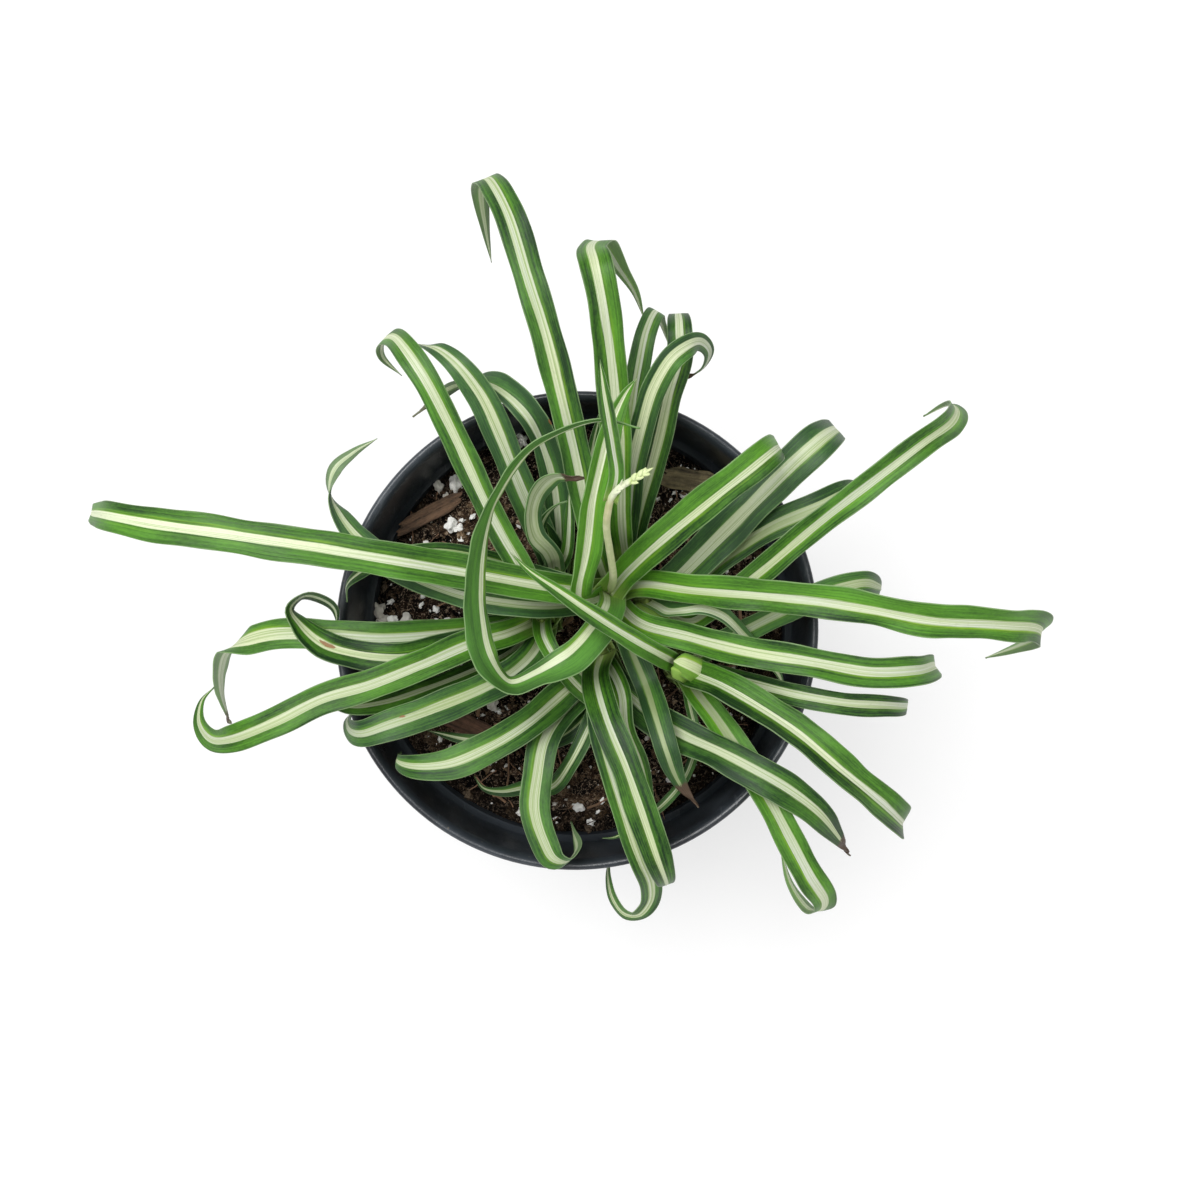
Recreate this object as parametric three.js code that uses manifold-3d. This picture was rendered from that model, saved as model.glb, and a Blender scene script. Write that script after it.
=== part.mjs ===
// A spider plant with cream-striped leaves in a round black nursery pot.
// Millimetres, +Z up. The origin is the centre of the pot's underside, which stands on z = 0.
import * as THREE from 'three';
import { mergeVertices } from 'three/addons/utils/BufferGeometryUtils.js';
import Module from 'manifold-3d';

const wasm = await Module();
wasm.setup();

// ---- driving dimensions ----
const rimDiameter = 152;
const potHeight = 140;
const baseDiameter = 108;
const wall = 1.6;
const collarHeight = 27;
const lipWidth = 2.6;
const drainHoles = 8;
const drainDiameter = 11;
const soilLevel = 114;
const soilRelief = 1.4;
const soilEdgeDrop = 3.4;
const clearance = 0.3;
const coreRadius = 7;
const coreTop = 138;
const coreFoot = 94;
const bladeThickness = 0.7;
const stubLength = 15;
// shares of a leaf's full width: at its foot, and how deep its channel is; the higher the
// last one, the longer a leaf stays wide before its tip
const footShare = 0.78;
const channelShare = 0.42;
const tipPower = 2.2;

const rimRadius = rimDiameter / 2;
const baseRadius = baseDiameter / 2;
const up = new THREE.Vector3(0, 0, 1);

// ---- finishes ----
const finishes = {
  pot: { color: 0x25292d, roughness: 0.45 },
  soil: { color: 0x3d2b20, roughness: 0.95 },
  bark: { color: 0x6b5240, roughness: 0.9 },
  crown: { color: 0xa9bd7a, roughness: 0.6 },
  leaf: { color: 0x5c8a3c, roughness: 0.5 },
  stalk: { color: 0xc3c98a, roughness: 0.55 },
};

// ---- crowns: the short stems that the leaves grow from, each with its cores' places ----
const crowns = {
  centre: [[10.4, 12.2], [15.0, 20.7], [22.1, 10.3]],
  east: [[34.5, -12.4]],
  west: [[-11.3, 3.8]],
  north_west: [[-6.8, 18.1]],
  south: [[7.5, -8.2]],
};

// ---- white grains that show on the soil: [x, y, size] ----
const grains = [
  [-41, 48, 4.5], [-46, 47, 3], [-42, 35, 3], [-65, 5, 4], [-62, 1, 2.6], [-59, 4, 2.4],
  [-57, 4, 2.2], [-47, 1, 3], [-44, 2, 2.2], [-42, 5, 2.4], [-28, -25, 3], [-19, 63, 4.4],
  [0, -59, 3.2], [-39, 30, 2], [-49, 28, 2.2], [-56, -4, 2], [-53, 15, 2], [19, -59, 2.2],
  [40, 43, 2.2], [54, -4, 2], [45, -38, 2.4], [4, -64, 2.2], [-19, -61, 2.4], [-36, -24, 2],
];

// ---- leaves: [name, crown, core, foot height, width, midrib points as [x, y, z, roll in
// degrees], wave of the edges, depth of the channel (null: the usual one), share of the length
// from which it narrows] ----
const leaves = [
  ['west_curl', 'centre', 0, 120, 8.4, [
    [-2, 8.2, 140], [-17, 8.2, 156], [-38, 12, 158], [-54, 19, 158], [-66, 28, 157],
    [-73, 36, 153, 40], [-76, 42, 151, 90], [-75, 50, 149, 165], [-69, 55, 151, 180],
    [-61, 59, 155, 180]
  ]],
  ['west_small', 'centre', 0, 122.5, 6.3, [
    [-4, 14.9, 147.6], [-18, 19.2, 141.5], [-33, 23, 154], [-46, 24, 160], [-58, 22, 162], [-65, 18, 160],
    [-70, 14, 155, 30], [-71, 9, 150, 50]
  ]],
  ['e_two', 'centre', 0, 127, 9, [
    [20, 2, 144, 15], [35, -2, 153, 20], [52, -6, 163, 20], [70, -9, 168, 20], [88, -12, 168, 20],
    [102, -12, 163, 10], [110, -11, 151], [114, -12, 129]
  ], 1, 0.3, 0.75],
  ['s_stripe', 'south', 0, 126, 6.5, [
    [11, -13, 142], [14, -20, 151], [15, -29, 153], [19, -40, 151], [22, -51, 145], [25, -58, 138]
  ]],
  ['s_brown', 'centre', 0, 126, 8, [
    [17, -5, 140], [22, -17, 141], [25, -27, 151], [28, -37, 154], [32, -47, 147], [38, -55, 144]
  ]],
  ['west_long', 'centre', 0, 132, 10.5, [
    [-2, 12.6, 153.3], [-23, 16, 166], [-45, 20, 176], [-71, 24, 182], [-97, 28, 183], [-119, 31, 181],
    [-136, 34, 174], [-147, 36, 157], [-157, 38, 125]
  ], 0.7],
  ['n_long', 'centre', 0, 127, 8.8, [
    [6, 25, 155], [3, 38, 168], [0, 53, 179], [-4, 69, 189], [-8, 85, 196], [-13, 101, 199],
    [-18, 117, 198], [-24, 129, 189], [-28, 131, 171], [-28, 124, 153], [-27, 116, 141]
  ], 0.7],
  ['ne_near', 'centre', 0, 141, 9.8, [
    [16, 19, 156], [24, 26.7, 171], [36, 36.5, 181], [47.3, 45.4, 186], [55.5, 52, 184],
    [59.5, 55, 173], [60.5, 56, 152]
  ], 0.6],
  ['e_long', 'centre', 0, 131, 10, [
    [21, 15, 150], [37, 13, 166], [60, 11, 178], [82, 8, 183], [105, 4, 183], [124, 3, 177],
    [138, 2, 165], [143, -1, 149], [139.5, -5, 137], [131, -9, 131]
  ], 1.1, 0.3, 0.78],
  ['loop', 'centre', 0, 134, 10, [
    [10.5, 6.8, 155, -20], [6.3, 0, 167, -35], [-1, -8, 174, -30], [-10, -13, 176, 10],
    [-19, -16, 177, 10], [-26, -8, 182, -30], [-28.6, 6, 189, -36], [-27.6, 21, 196, -28],
    [-23, 36, 204, -24], [-14, 49, 210, -28], [-4, 55, 213, -34], [7, 58, 215, -40],
    [18, 56, 212, -40]
  ], 0.4, null, 0.4],
  ['n_near', 'centre', 0, 133, 8, [
    [4.2, 9.8, 151, -30], [0.8, 10, 160, -60], [1, 14.5, 166, -80], [2.8, 22, 172, -88],
    [4.2, 30, 180, -90], [5.3, 38.5, 188, -90], [7.7, 49, 194, -90], [10.2, 58.4, 196, -90],
    [13.9, 66.7, 196, -90], [17.3, 72, 193, -90]
  ], 0.4, 0.42, 0.7],
  ['n_small', 'centre', 0, 128, 4, [
    [6, 26, 147], [4, 43, 155], [5, 56, 162], [8, 68, 168]
  ], 0.2],
  ['n_fold', 'centre', 1, 127, 9.3, [
    [12.4, 33, 154], [11.9, 48, 166], [11.2, 64, 177], [10, 80, 187], [8, 94, 195], [6, 104, 196],
    [5, 110, 189], [8, 114, 177], [13, 110, 163], [18, 104, 154], [21, 97, 147]
  ], 0.9],
  ['n_four', 'centre', 1, 120, 7, [
    [15, 35, 138], [16, 53, 148], [17, 68, 157], [19, 80, 163], [21, 90, 164], [24, 97, 159],
    [26, 96, 150], [29, 91, 137]
  ]],
  ['n_two', 'centre', 1, 124, 8.5, [
    [18, 32, 139], [21, 44, 147], [25, 59, 155], [28, 72, 161], [31, 83, 164], [31, 91, 165],
    [31, 96, 159], [32, 98, 139]
  ]],
  ['n_three', 'centre', 1, 128, 7.5, [
    [16, 35, 146], [17, 49, 159], [20, 62, 168], [23, 72, 175], [28, 80, 178], [33, 84, 176, 10],
    [37, 86, 170, 45], [40, 84, 162, 60], [38, 80, 156, 60], [34, 78, 154, 60]
  ]],
  ['nw_long', 'west', 0, 129, 8, [
    [-14, 13, 148], [-17, 20, 153], [-22, 29, 158], [-29, 43, 167], [-36, 59, 176], [-43, 73, 182],
    [-49, 82, 180], [-54, 87.4, 171], [-59, 87.6, 159], [-60, 84.5, 149], [-55, 80, 143]
  ]],
  ['w_drop', 'west', 0, 122, 9.5, [
    [-25, 1, 136], [-43, -1, 144], [-61, -2, 149], [-76, -1, 150], [-92, -1, 149],
    [-102, -3, 145, 15], [-110, -6, 139, 75], [-115, -13, 129, 60], [-118, -23, 114, 40],
    [-118, -32, 104, 30]
  ]],
  ['w_ring', 'west', 0, 125, 9.3, [
    [-24, -1, 141], [-39, -5, 149], [-54, -8, 155], [-67, -7, 157], [-77, -4, 159, 15],
    [-84, 2, 159, 50], [-87, 7, 159, 70], [-83, 11, 158, 75], [-78, 10, 154, 75],
    [-75, 7, 149, 75], [-75, 2, 144, 75]
  ]],
  ['wsw_long', 'west', 0, 128, 9.3, [
    [-22, -1, 147], [-33, -4, 155], [-47, -10, 161], [-62, -16, 165], [-76, -20, 167],
    [-90, -27, 167], [-103, -32, 163], [-112, -33, 154, 30], [-118, -28, 145, 60],
    [-118, -22, 141, 60], [-115, -18, 138, 60]
  ]],
  ['wsw_low', 'west', 0, 119, 6.5, [
    [-20, -6, 130], [-31, -12, 138], [-46, -18, 147], [-59, -22, 154], [-68, -23, 158],
    [-73, -22, 156], [-75, -23, 144]
  ]],
  ['sw_wide', 'west', 0, 124, 10, [
    [-13, -6, 137, -20], [-20, -13, 145, -35], [-31, -19, 152, -35], [-44, -24, 158, -35],
    [-56, -28, 161, -35], [-65, -31, 159, -30], [-70, -30, 152, -20], [-71, -27, 147],
    [-69, -25, 144], [-65, -24, 144]
  ]],
  ['s_tuck', 'west', 0, 131, 6, [
    [-10, -3, 145], [-5, -11, 147], [1, -18, 143], [8, -24, 140], [15, -31, 134]
  ], 0.3],
  ['s_long', 'south', 0, 136, 9.3, [
    [6, -15, 157, 15], [9, -26, 168, 25], [15, -40, 172, 25], [20, -54, 172, 25],
    [24, -66, 169, 25], [27, -75, 160, 25], [28, -80, 141, 25]
  ]],
  ['sw_near', 'south', 0, 128, 10, [
    [0, -16, 138], [-7, -22, 143], [-16, -29, 152], [-26, -35, 157], [-38, -40, 159],
    [-49, -41, 158], [-55, -40, 152], [-55, -38, 144]
  ]],
  ['s_hook', 'south', 0, 123, 9.3, [
    [2, -19, 135], [-5, -26, 141], [-10, -34, 147], [-12, -44, 150], [-13, -55, 152],
    [-10, -65, 152], [-7, -70, 151, 20], [-3, -71, 150, 60], [0, -68, 147, 60], [-1, -64, 140, 40],
    [-2, -61, 134, 20]
  ]],
  ['s_loop', 'south', 0, 131, 7.5, [
    [6, -19, 156], [8, -33, 157], [12, -47, 158], [16, -59, 156], [20, -71, 151], [23, -79, 143],
    [23, -87, 133, 10], [19.5, -92, 128, 25], [15, -92, 125, 55], [11.5, -88, 121, 75],
    [10, -82, 115, 90], [10.5, -76, 108, 100]
  ]],
  ['s_diag', 'south', 0, 118, 5.5, [
    [8, -19, 131], [4, -30, 137], [-2, -42, 138], [-8, -50, 133], [-16, -51, 126, 20],
    [-25, -53, 122, 30], [-31, -52, 121, 40], [-34, -48, 121, 50]
  ]],
  ['s_broad', 'south', 0, 120, 6.5, [
    [6, -19, 128], [3, -27, 133], [-2, -32, 135], [-8, -36, 132], [-13, -40, 127]
  ]],
  ['sw_tuck', 'south', 0, 119, 5, [
    [1, -19, 126], [-10, -29, 131], [-21, -35, 135], [-34, -35, 135], [-48, -32, 134]
  ], 0.2],
  ['se_wide', 'south', 0, 123, 11, [
    [14, -19, 137], [23, -27, 141], [33, -33, 147], [45, -38, 153], [60, -46, 157], [73, -55, 154],
    [82, -65, 141], [87, -72, 132]
  ], 0.8],
  ['cross', 'east', 0, 133, 6.4, [
    [25, -7, 160], [15, -1, 172], [4, 6, 182], [-6, 13, 189], [-13, 18, 193], [-18, 23, 195]
  ], 0.5, 0.42, 0.4],
  ['se_long', 'east', 0, 130, 10.5, [
    [36.5, -13.5, 148], [44, -16.5, 159, -20], [54, -22, 165, -25], [66, -30, 170, -25],
    [79, -41, 171, -25], [91, -51, 165, -25], [99, -58, 154, -25], [104, -62, 131, -25]
  ], 0.5, 0.35, 0.78],
  ['se_low', 'east', 0, 124, 9, [
    [38, -20, 139], [44, -28, 145], [50, -37, 150], [58, -50, 153], [65, -63, 154], [72, -76, 150],
    [78, -85, 140], [78, -90, 130, 20], [75, -91, 122, 30], [70, -84, 117, 30], [67, -73, 115, 30]
  ]],
  ['e_short', 'east', 0, 121, 7, [
    [45, -14, 137], [56, -17, 145], [69, -20, 153], [82, -22, 155], [94, -23, 151],
    [103, -24, 141], [107, -24, 120]
  ]],
  ['s_arc', 'east', 0, 118, 3.2, [
    [36, -23, 126], [38, -35, 130], [35, -46, 132], [29, -54, 134], [20, -61, 137], [12, -65, 141],
    [8, -65, 143]
  ], 0.15],
  ['e_back', 'east', 0, 127, 8, [
    [39, -7, 139], [50, -1, 146], [63, 6, 152], [76, 12, 156], [87, 15, 155], [94, 14, 144],
    [98, 13, 127]
  ]],
  ['ne_mid', 'centre', 2, 128, 12, [
    [32, 17, 144], [43, 28, 151], [55, 40, 155], [67, 52, 155], [75, 59, 154], [81, 63, 143],
    [83, 63, 123]
  ], 0.8],
  ['ne_low', 'centre', 2, 124, 9, [
    [35, 15, 138], [48, 25, 145], [61, 33, 151], [75, 39, 154], [85, 44, 148], [91, 46, 131]
  ]],
  ['ne_long', 'centre', 2, 131, 7.8, [
    [35, 3, 146, 20], [44, 9, 154, 45], [55, 18, 165, 48], [70, 31, 175, 48], [85, 43, 182, 48],
    [100, 54.5, 184, 48], [109.6, 61.2, 175, 48], [115, 67.5, 159, 30], [114.5, 70, 147],
    [109, 67.5, 141]
  ], 0.5, 0.4, 0.75],
  ['e_curl', 'centre', 2, 129, 5.2, [
    [26, 8, 142], [29, 6.4, 152], [33, 6.8, 158], [38, 7.4, 160], [44.3, 5.4, 160],
    [51.3, -1, 154], [57.4, -7.1, 149], [62.8, -13.5, 147], [65.3, -21, 144]
  ], 0.2],
  ['nw_mid', 'north_west', 0, 120, 9, [
    [-10, 27, 141], [-14, 37, 151], [-18, 47, 160], [-23, 59, 168], [-28, 70, 174], [-34, 78, 177],
    [-40, 83, 174, 15], [-45, 85, 169, 55], [-50, 87, 163, 80]
  ]],
  ['nw_high', 'north_west', 0, 122, 8.6, [
    [-5, 30, 138], [-6, 45, 148], [-9, 57, 159], [-13, 65.5, 168], [-20, 72, 167, 25],
    [-28, 75.5, 162, 70], [-37, 74.5, 155, 115], [-43, 72, 150, 150], [-51, 67, 145, 160]
  ], 0.5, 0.5, 0.45],
  ['mid_curl', 'north_west', 0, 131, 6.2, [
    [-8, 25, 154], [-12.2, 29.5, 162, 25], [-13.2, 35.2, 169, 35], [-11.7, 40.1, 175, 20],
    [-8.6, 43.6, 182], [-5.5, 45.1, 187, -5], [-3, 44.9, 189, -20], [-0.2, 44.2, 190.5, -30],
    [2.6, 44.5, 190, -30]
  ], 0.15, 0.3, 0.76],
  ['mid_thin', 'north_west', 0, 135, 3.2, [
    [-10, 25, 147], [-11, 31, 156], [-8.5, 36, 163], [-5, 38.4, 167], [-2.5, 39, 168]
  ], 0.1],
  ['mid_dark', 'north_west', 0, 129, 7, [
    [-7, 25, 143], [-8.5, 29, 149], [-9.5, 34, 155]
  ], 0.2],
  ['mid_pale', 'north_west', 0, 131, 4, [
    [-3, 25, 148], [-2, 33, 158], [-2, 43, 163]
  ], 0.15],
];

// ---- flower stalk, and the narrow leaf that grows from its bend ----
const stalk = ['stalk', 'centre', 0, 138, 3.2, [
  [11.2, 17, 160], [9.9, 25, 176], [9.1, 30, 186], [9.3, 33.8, 194], [10.4, 38, 201],
  [12.4, 40.4, 204], [16, 42.5, 206], [20.2, 45.2, 207]
]];
const stalkLeaf = ['stalk_leaf', null, 0, 0, 4.2, [
  [10.3, 37.6, 199.5], [11.9, 44, 205], [11, 50.2, 212], [9.6, 57.3, 220], [8.2, 64.5, 226],
  [7.2, 71.7, 230]
], 0.15];

// ---- helpers ----
const smooth = (t) => {
  const c = Math.min(1, Math.max(0, t));
  return c * c * (3 - 2 * c);
};

// Turns a closed geometry into a solid whose faces point out.
function toSolid(geometry) {
  const bare = geometry.clone();
  bare.deleteAttribute('normal');
  bare.deleteAttribute('uv');
  const merged = mergeVertices(bare, 1e-4);
  const vertProperties = new Float32Array(merged.attributes.position.array);
  const triVerts = new Uint32Array(merged.index.array);
  const solid = new wasm.Manifold(new wasm.Mesh({ numProp: 3, vertProperties, triVerts }));
  if (solid.volume() > 0) return solid;
  for (let i = 0; i < triVerts.length; i += 3) {
    [triVerts[i], triVerts[i + 1]] = [triVerts[i + 1], triVerts[i]];
  }
  return new wasm.Manifold(new wasm.Mesh({ numProp: 3, vertProperties, triVerts }));
}

function toGeometry(solid) {
  const { vertProperties, triVerts } = solid.getMesh();
  const geometry = new THREE.BufferGeometry();
  geometry.setAttribute('position', new THREE.BufferAttribute(vertProperties, 3));
  geometry.setIndex(new THREE.BufferAttribute(triVerts, 1));
  geometry.computeVertexNormals();
  return geometry;
}

const join = (solids) => solids.reduce((whole, solid) => whole.add(solid));

// A closed profile of [radius, height] turned round the Z axis.
function turned(profile, segments) {
  const points = profile.map(([r, z]) => new THREE.Vector2(r, z));
  return toSolid(new THREE.LatheGeometry(points, segments).rotateX(Math.PI / 2));
}

function cylinderZ(radius, bottom, top, x, y, sides = 14) {
  const geometry = new THREE.CylinderGeometry(radius, radius, top - bottom, sides);
  geometry.rotateX(Math.PI / 2).translate(x, y, (top + bottom) / 2);
  return toSolid(geometry);
}

function named(name, geometry, finish) {
  const mesh = new THREE.Mesh(geometry, new THREE.MeshStandardMaterial(finishes[finish]));
  mesh.name = name;
  return mesh;
}

// ---- pot: tapered body, stacking collar, rolled lip, raised underside with edge drains ----
const collarFoot = potHeight - collarHeight;
const floorTop = 3.8;
const bodyTopRadius = rimRadius - 6;
const innerBodyTop = bodyTopRadius - wall;
const innerBase = baseRadius - wall;

function makePot() {
  const profile = [
    [0, 0], [18, 0], [20, 2], [baseRadius - 9, 2], [baseRadius - 7, 0], [baseRadius - 0.8, 0],
    [baseRadius, 0.8], [bodyTopRadius, collarFoot - 2], [rimRadius - 3.8, collarFoot],
    [rimRadius - 1.9, potHeight - 3.4], [rimRadius - 0.3, potHeight - 2.6], [rimRadius, potHeight - 1.2],
    [rimRadius - 0.7, potHeight], [rimRadius - lipWidth + 0.6, potHeight],
    [rimRadius - lipWidth - 0.5, potHeight - 1], [rimRadius - 3.6, potHeight - 3.2],
    [rimRadius - 5.2, collarFoot + 2], [innerBodyTop, collarFoot - 0.4], [innerBase, floorTop],
    [0, floorTop],
  ];
  const drains = [];
  for (let i = 0; i < drainHoles; i += 1) {
    const drain = new THREE.CylinderGeometry(drainDiameter / 2, drainDiameter / 2, 18, 12);
    drain.rotateZ(Math.PI / 2).translate(baseRadius - 1, 0, floorTop);
    drain.rotateZ(((i + 0.5) * 2 * Math.PI) / drainHoles);
    drains.push(toSolid(drain));
  }
  return turned(profile, 48).subtract(join(drains));
}

// ---- bark chips that lie on the soil: [name, x, y, length, width, turn in degrees] ----
const chips = [
  ['bark_north_west', -49, 38.3, 22, 5, 27],
  ['bark_north_east', 36.6, 49.3, 18, 7, -10],
  ['bark_south_west', -36.8, -31.7, 20, 7, -25],
];

function makeChip([, x, y, length, width, turn]) {
  const outline = [
    [-0.5, -0.1], [-0.3, -0.42], [0.1, -0.5], [0.42, -0.36], [0.5, 0.05], [0.28, 0.4], [-0.1, 0.5],
    [-0.42, 0.32],
  ];
  const shape = new THREE.Shape(outline.map(([u, v]) => new THREE.Vector2(u * length, v * width)));
  const chip = new THREE.ExtrudeGeometry(shape, { depth: 1.6, bevelEnabled: false });
  chip.rotateZ(THREE.MathUtils.degToRad(turn)).translate(x, y, soilLevel + clearance);
  return toSolid(chip);
}

// ---- soil: fills the pot, with a lumpy top, plain holes for the crowns and white grains ----
const soilRadius = innerBodyTop - clearance - 0.5;

function soilHeight(x, y) {
  const lumps = Math.sin(x * 0.21 + 1) * Math.cos(y * 0.17) + 0.6 * Math.sin(x * 0.37 - y * 0.31);
  const nearChip = Math.min(...chips.map(([, cx, cy]) => Math.hypot(x - cx, y - cy)));
  const edge = smooth((Math.hypot(x, y) - soilRadius + 9) / 9);
  return soilLevel + soilRelief * 0.6 * lumps * smooth((nearChip - 12) / 8) - edge * soilEdgeDrop;
}

function makeSoil() {
  const segments = 36;
  const rings = 7;
  const profile = [[0, floorTop + clearance], [innerBase - clearance, floorTop + clearance]];
  for (let i = rings; i >= 0; i -= 1) profile.push([(soilRadius * i) / rings, soilLevel]);
  const points = profile.map(([r, z]) => new THREE.Vector2(r, z));
  const body = new THREE.LatheGeometry(points, segments).rotateX(Math.PI / 2);
  const position = body.attributes.position;
  for (let i = 0; i < position.count; i += 1) {
    if (position.getZ(i) > soilLevel / 2) {
      position.setZ(i, soilHeight(position.getX(i), position.getY(i)));
    }
  }
  let soil = toSolid(body);
  for (const cores of Object.values(crowns)) {
    for (const [x, y] of cores) {
      const hole = cylinderZ(coreRadius + clearance, coreFoot - clearance, soilLevel + 20, x, y);
      soil = soil.subtract(hole);
    }
  }
  return soil.add(join(grains.map(makeGrain)));
}

function makeGrain([x, y, size]) {
  const grain = new THREE.IcosahedronGeometry(size / 2, 0);
  grain.scale(1, 0.8, 1).rotateZ(x + y).translate(x, y, soilHeight(x, y) - 0.2);
  return toSolid(grain);
}

// ---- leaves ----
// How wide a leaf is along its length: narrow at its foot, then full, then drawn to a point.
function widthShare(v, taper) {
  const rise = footShare + (1 - footShare) * smooth(v / 0.3);
  const fall = v < taper ? 1 : 1 - ((v - taper) / (1 - taper)) ** tipPower;
  return Math.max(0.06, rise * fall);
}

// The midrib of a leaf with the blade's own directions along it.
function midrib([, crown, core, footHeight, , route]) {
  const places = crown ? [[...crowns[crown][core], footHeight, 0], ...route] : route;
  const curve = new THREE.CatmullRomCurve3(
    places.map(([px, py, pz]) => new THREE.Vector3(px, py, pz)), false, 'centripetal');
  curve.arcLengthDivisions = 400;
  const length = curve.getLength();
  const rollAt = (u) => {
    const t = curve.getUtoTmapping(u) * (places.length - 1);
    const i = Math.min(Math.floor(t), places.length - 2);
    const from = places[i][3] ?? 0;
    const to = places[i + 1][3] ?? 0;
    return THREE.MathUtils.degToRad(from + (to - from) * (t - i));
  };
  const steps = Math.ceil(length / 1.5);
  const side = new THREE.Vector3().crossVectors(curve.getTangentAt(0), up).normalize();
  const frames = [];
  for (let i = 0; i <= steps; i += 1) {
    const u = i / steps;
    const along = curve.getTangentAt(u);
    side.addScaledVector(along, -side.dot(along)).normalize();
    const roll = rollAt(u);
    const across = side.clone().applyAxisAngle(along, roll);
    frames.push({
      at: u * length,
      point: curve.getPointAt(u),
      along,
      across,
      out: new THREE.Vector3().crossVectors(across, along),
    });
  }
  return { frames, length };
}

function frameAt(frames, at) {
  const step = frames[1].at;
  const i = Math.min(Math.floor(at / step), frames.length - 2);
  const t = at / step - i;
  const mix = (key) => frames[i][key].clone().lerp(frames[i + 1][key], t);
  return { at, point: mix('point'), along: mix('along'), across: mix('across'), out: mix('out') };
}

// Stations along the midrib from one distance to another, closer together where it bends.
function stations(frames, from, to) {
  const chosen = [frameAt(frames, from)];
  let turn = 0;
  for (let i = 1; i < frames.length; i += 1) {
    const { at, along, across } = frames[i];
    if (at <= from + 2 || at >= to - 2) continue;
    const before = frames[i - 1];
    turn += before.along.angleTo(along) + 0.6 * before.across.angleTo(across);
    const last = chosen[chosen.length - 1];
    if (at - last.at >= 12 || turn > 0.4) {
      chosen.push(frames[i]);
      turn = 0;
    }
  }
  chosen.push(frameAt(frames, to));
  return chosen;
}

// A thin closed blade with a channel along its middle and gently waved edges.
function blade(row, from, to) {
  const [, , , , width, , wave = 0.5, fold, taper = 0.6] = row;
  const { frames, length } = midrib(row);
  const end = Math.min(to, length);
  const vertices = [];
  const rows = stations(frames, from, end);
  for (const { at, point, across, out } of rows) {
    const v = at / length;
    const half = (width / 2) * widthShare(v, taper);
    const depth = half * (fold ?? channelShare * (1 - 0.8 * smooth(v * 1.6)));
    const ripple = wave * Math.sin(Math.PI * v);
    const lift = [
      depth + ripple * Math.sin(at / 5.2),
      0,
      depth + ripple * Math.sin(at / 4.6 + 2),
    ];
    for (const face of [1, -1]) {
      for (let k = 0; k < 3; k += 1) {
        const place = point.clone().addScaledVector(across, (k - 1) * half);
        place.addScaledVector(out, lift[k] + (face * bladeThickness) / 2);
        vertices.push(place.x, place.y, place.z);
      }
    }
  }
  const index = [];
  const quad = (a, b, c, d) => index.push(a, b, c, a, c, d);
  for (let i = 0; i + 1 < rows.length; i += 1) {
    const a = i * 6;
    const b = a + 6;
    quad(a, b, b + 1, a + 1);
    quad(a + 1, b + 1, b + 2, a + 2);
    index.push(a + 3, b + 4, b + 3, a + 3, a + 4, b + 4);
    index.push(a + 4, b + 5, b + 4, a + 4, a + 5, b + 5);
    quad(a + 3, b + 3, b, a);
    quad(a + 2, b + 2, b + 5, a + 5);
  }
  const z = (rows.length - 1) * 6;
  quad(0, 1, 4, 3);
  quad(1, 2, 5, 4);
  quad(z, z + 3, z + 4, z + 1);
  quad(z + 1, z + 4, z + 5, z + 2);
  const geometry = new THREE.BufferGeometry();
  geometry.setAttribute('position', new THREE.Float32BufferAttribute(vertices, 3));
  geometry.setIndex(index);
  return toSolid(geometry);
}

// ---- flower stalk: a thin round stem with a knobbly head of closed buds ----
function stem(from, to) {
  const { frames, length } = midrib(stalk);
  const end = Math.min(to, length);
  const rows = stations(frames, from, end);
  const sides = 6;
  const vertices = [];
  for (const { at, point, across, out } of rows) {
    const radius = stalk[4] * (0.5 - 0.14 * (at / length));
    for (let k = 0; k < sides; k += 1) {
      const angle = (k / sides) * 2 * Math.PI;
      const place = point.clone().addScaledVector(across, radius * Math.cos(angle));
      place.addScaledVector(out, radius * Math.sin(angle));
      vertices.push(place.x, place.y, place.z);
    }
  }
  const index = [];
  for (let i = 0; i + 1 < rows.length; i += 1) {
    for (let k = 0; k < sides; k += 1) {
      const a = i * sides + k;
      const b = i * sides + ((k + 1) % sides);
      index.push(a, b, b + sides, a, b + sides, a + sides);
    }
  }
  const last = (rows.length - 1) * sides;
  for (let k = 1; k + 1 < sides; k += 1) {
    index.push(0, k + 1, k);
    index.push(last, last + k, last + k + 1);
  }
  const geometry = new THREE.BufferGeometry();
  geometry.setAttribute('position', new THREE.Float32BufferAttribute(vertices, 3));
  geometry.setIndex(index);
  return toSolid(geometry);
}

function bud(back, aside, size) {
  const { frames, length } = midrib(stalk);
  const { point, across, out } = frameAt(frames, length - back);
  const centre = point.clone().addScaledVector(across, aside).addScaledVector(out, size * 0.2);
  const shape = new THREE.IcosahedronGeometry(size / 2, 0);
  return toSolid(shape.translate(centre.x, centre.y, centre.z));
}

function makeStalk() {
  const buds = [[0.6, 0, 2.6], [3, 1, 2.8], [5.5, -1, 3], [8, 0.9, 3.2], [10.6, -0.9, 3]];
  const ownLeaf = blade(stalkLeaf, 0, Infinity);
  return join([stem(stubLength + clearance, Infinity), ownLeaf, ...buds.map((row) => bud(...row))]);
}

// ---- crowns: cores with the feet of their leaves ----
function makeCrown(name) {
  const profile = [
    [0, coreFoot], [coreRadius * 0.8, coreFoot], [coreRadius, coreFoot + 3], [coreRadius, soilLevel + 2],
    [coreRadius * 0.8, coreTop - 8], [coreRadius * 0.5, coreTop - 1], [0, coreTop],
  ];
  const cores = crowns[name].map(([x, y]) => turned(profile, 14).translate([x, y, 0]));
  const feet = leaves.filter((row) => row[1] === name).map((row) => blade(row, 0, stubLength));
  const stems = stalk[1] === name ? [stem(0, stubLength)] : [];
  return join([...cores, ...feet, ...stems]);
}

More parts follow.
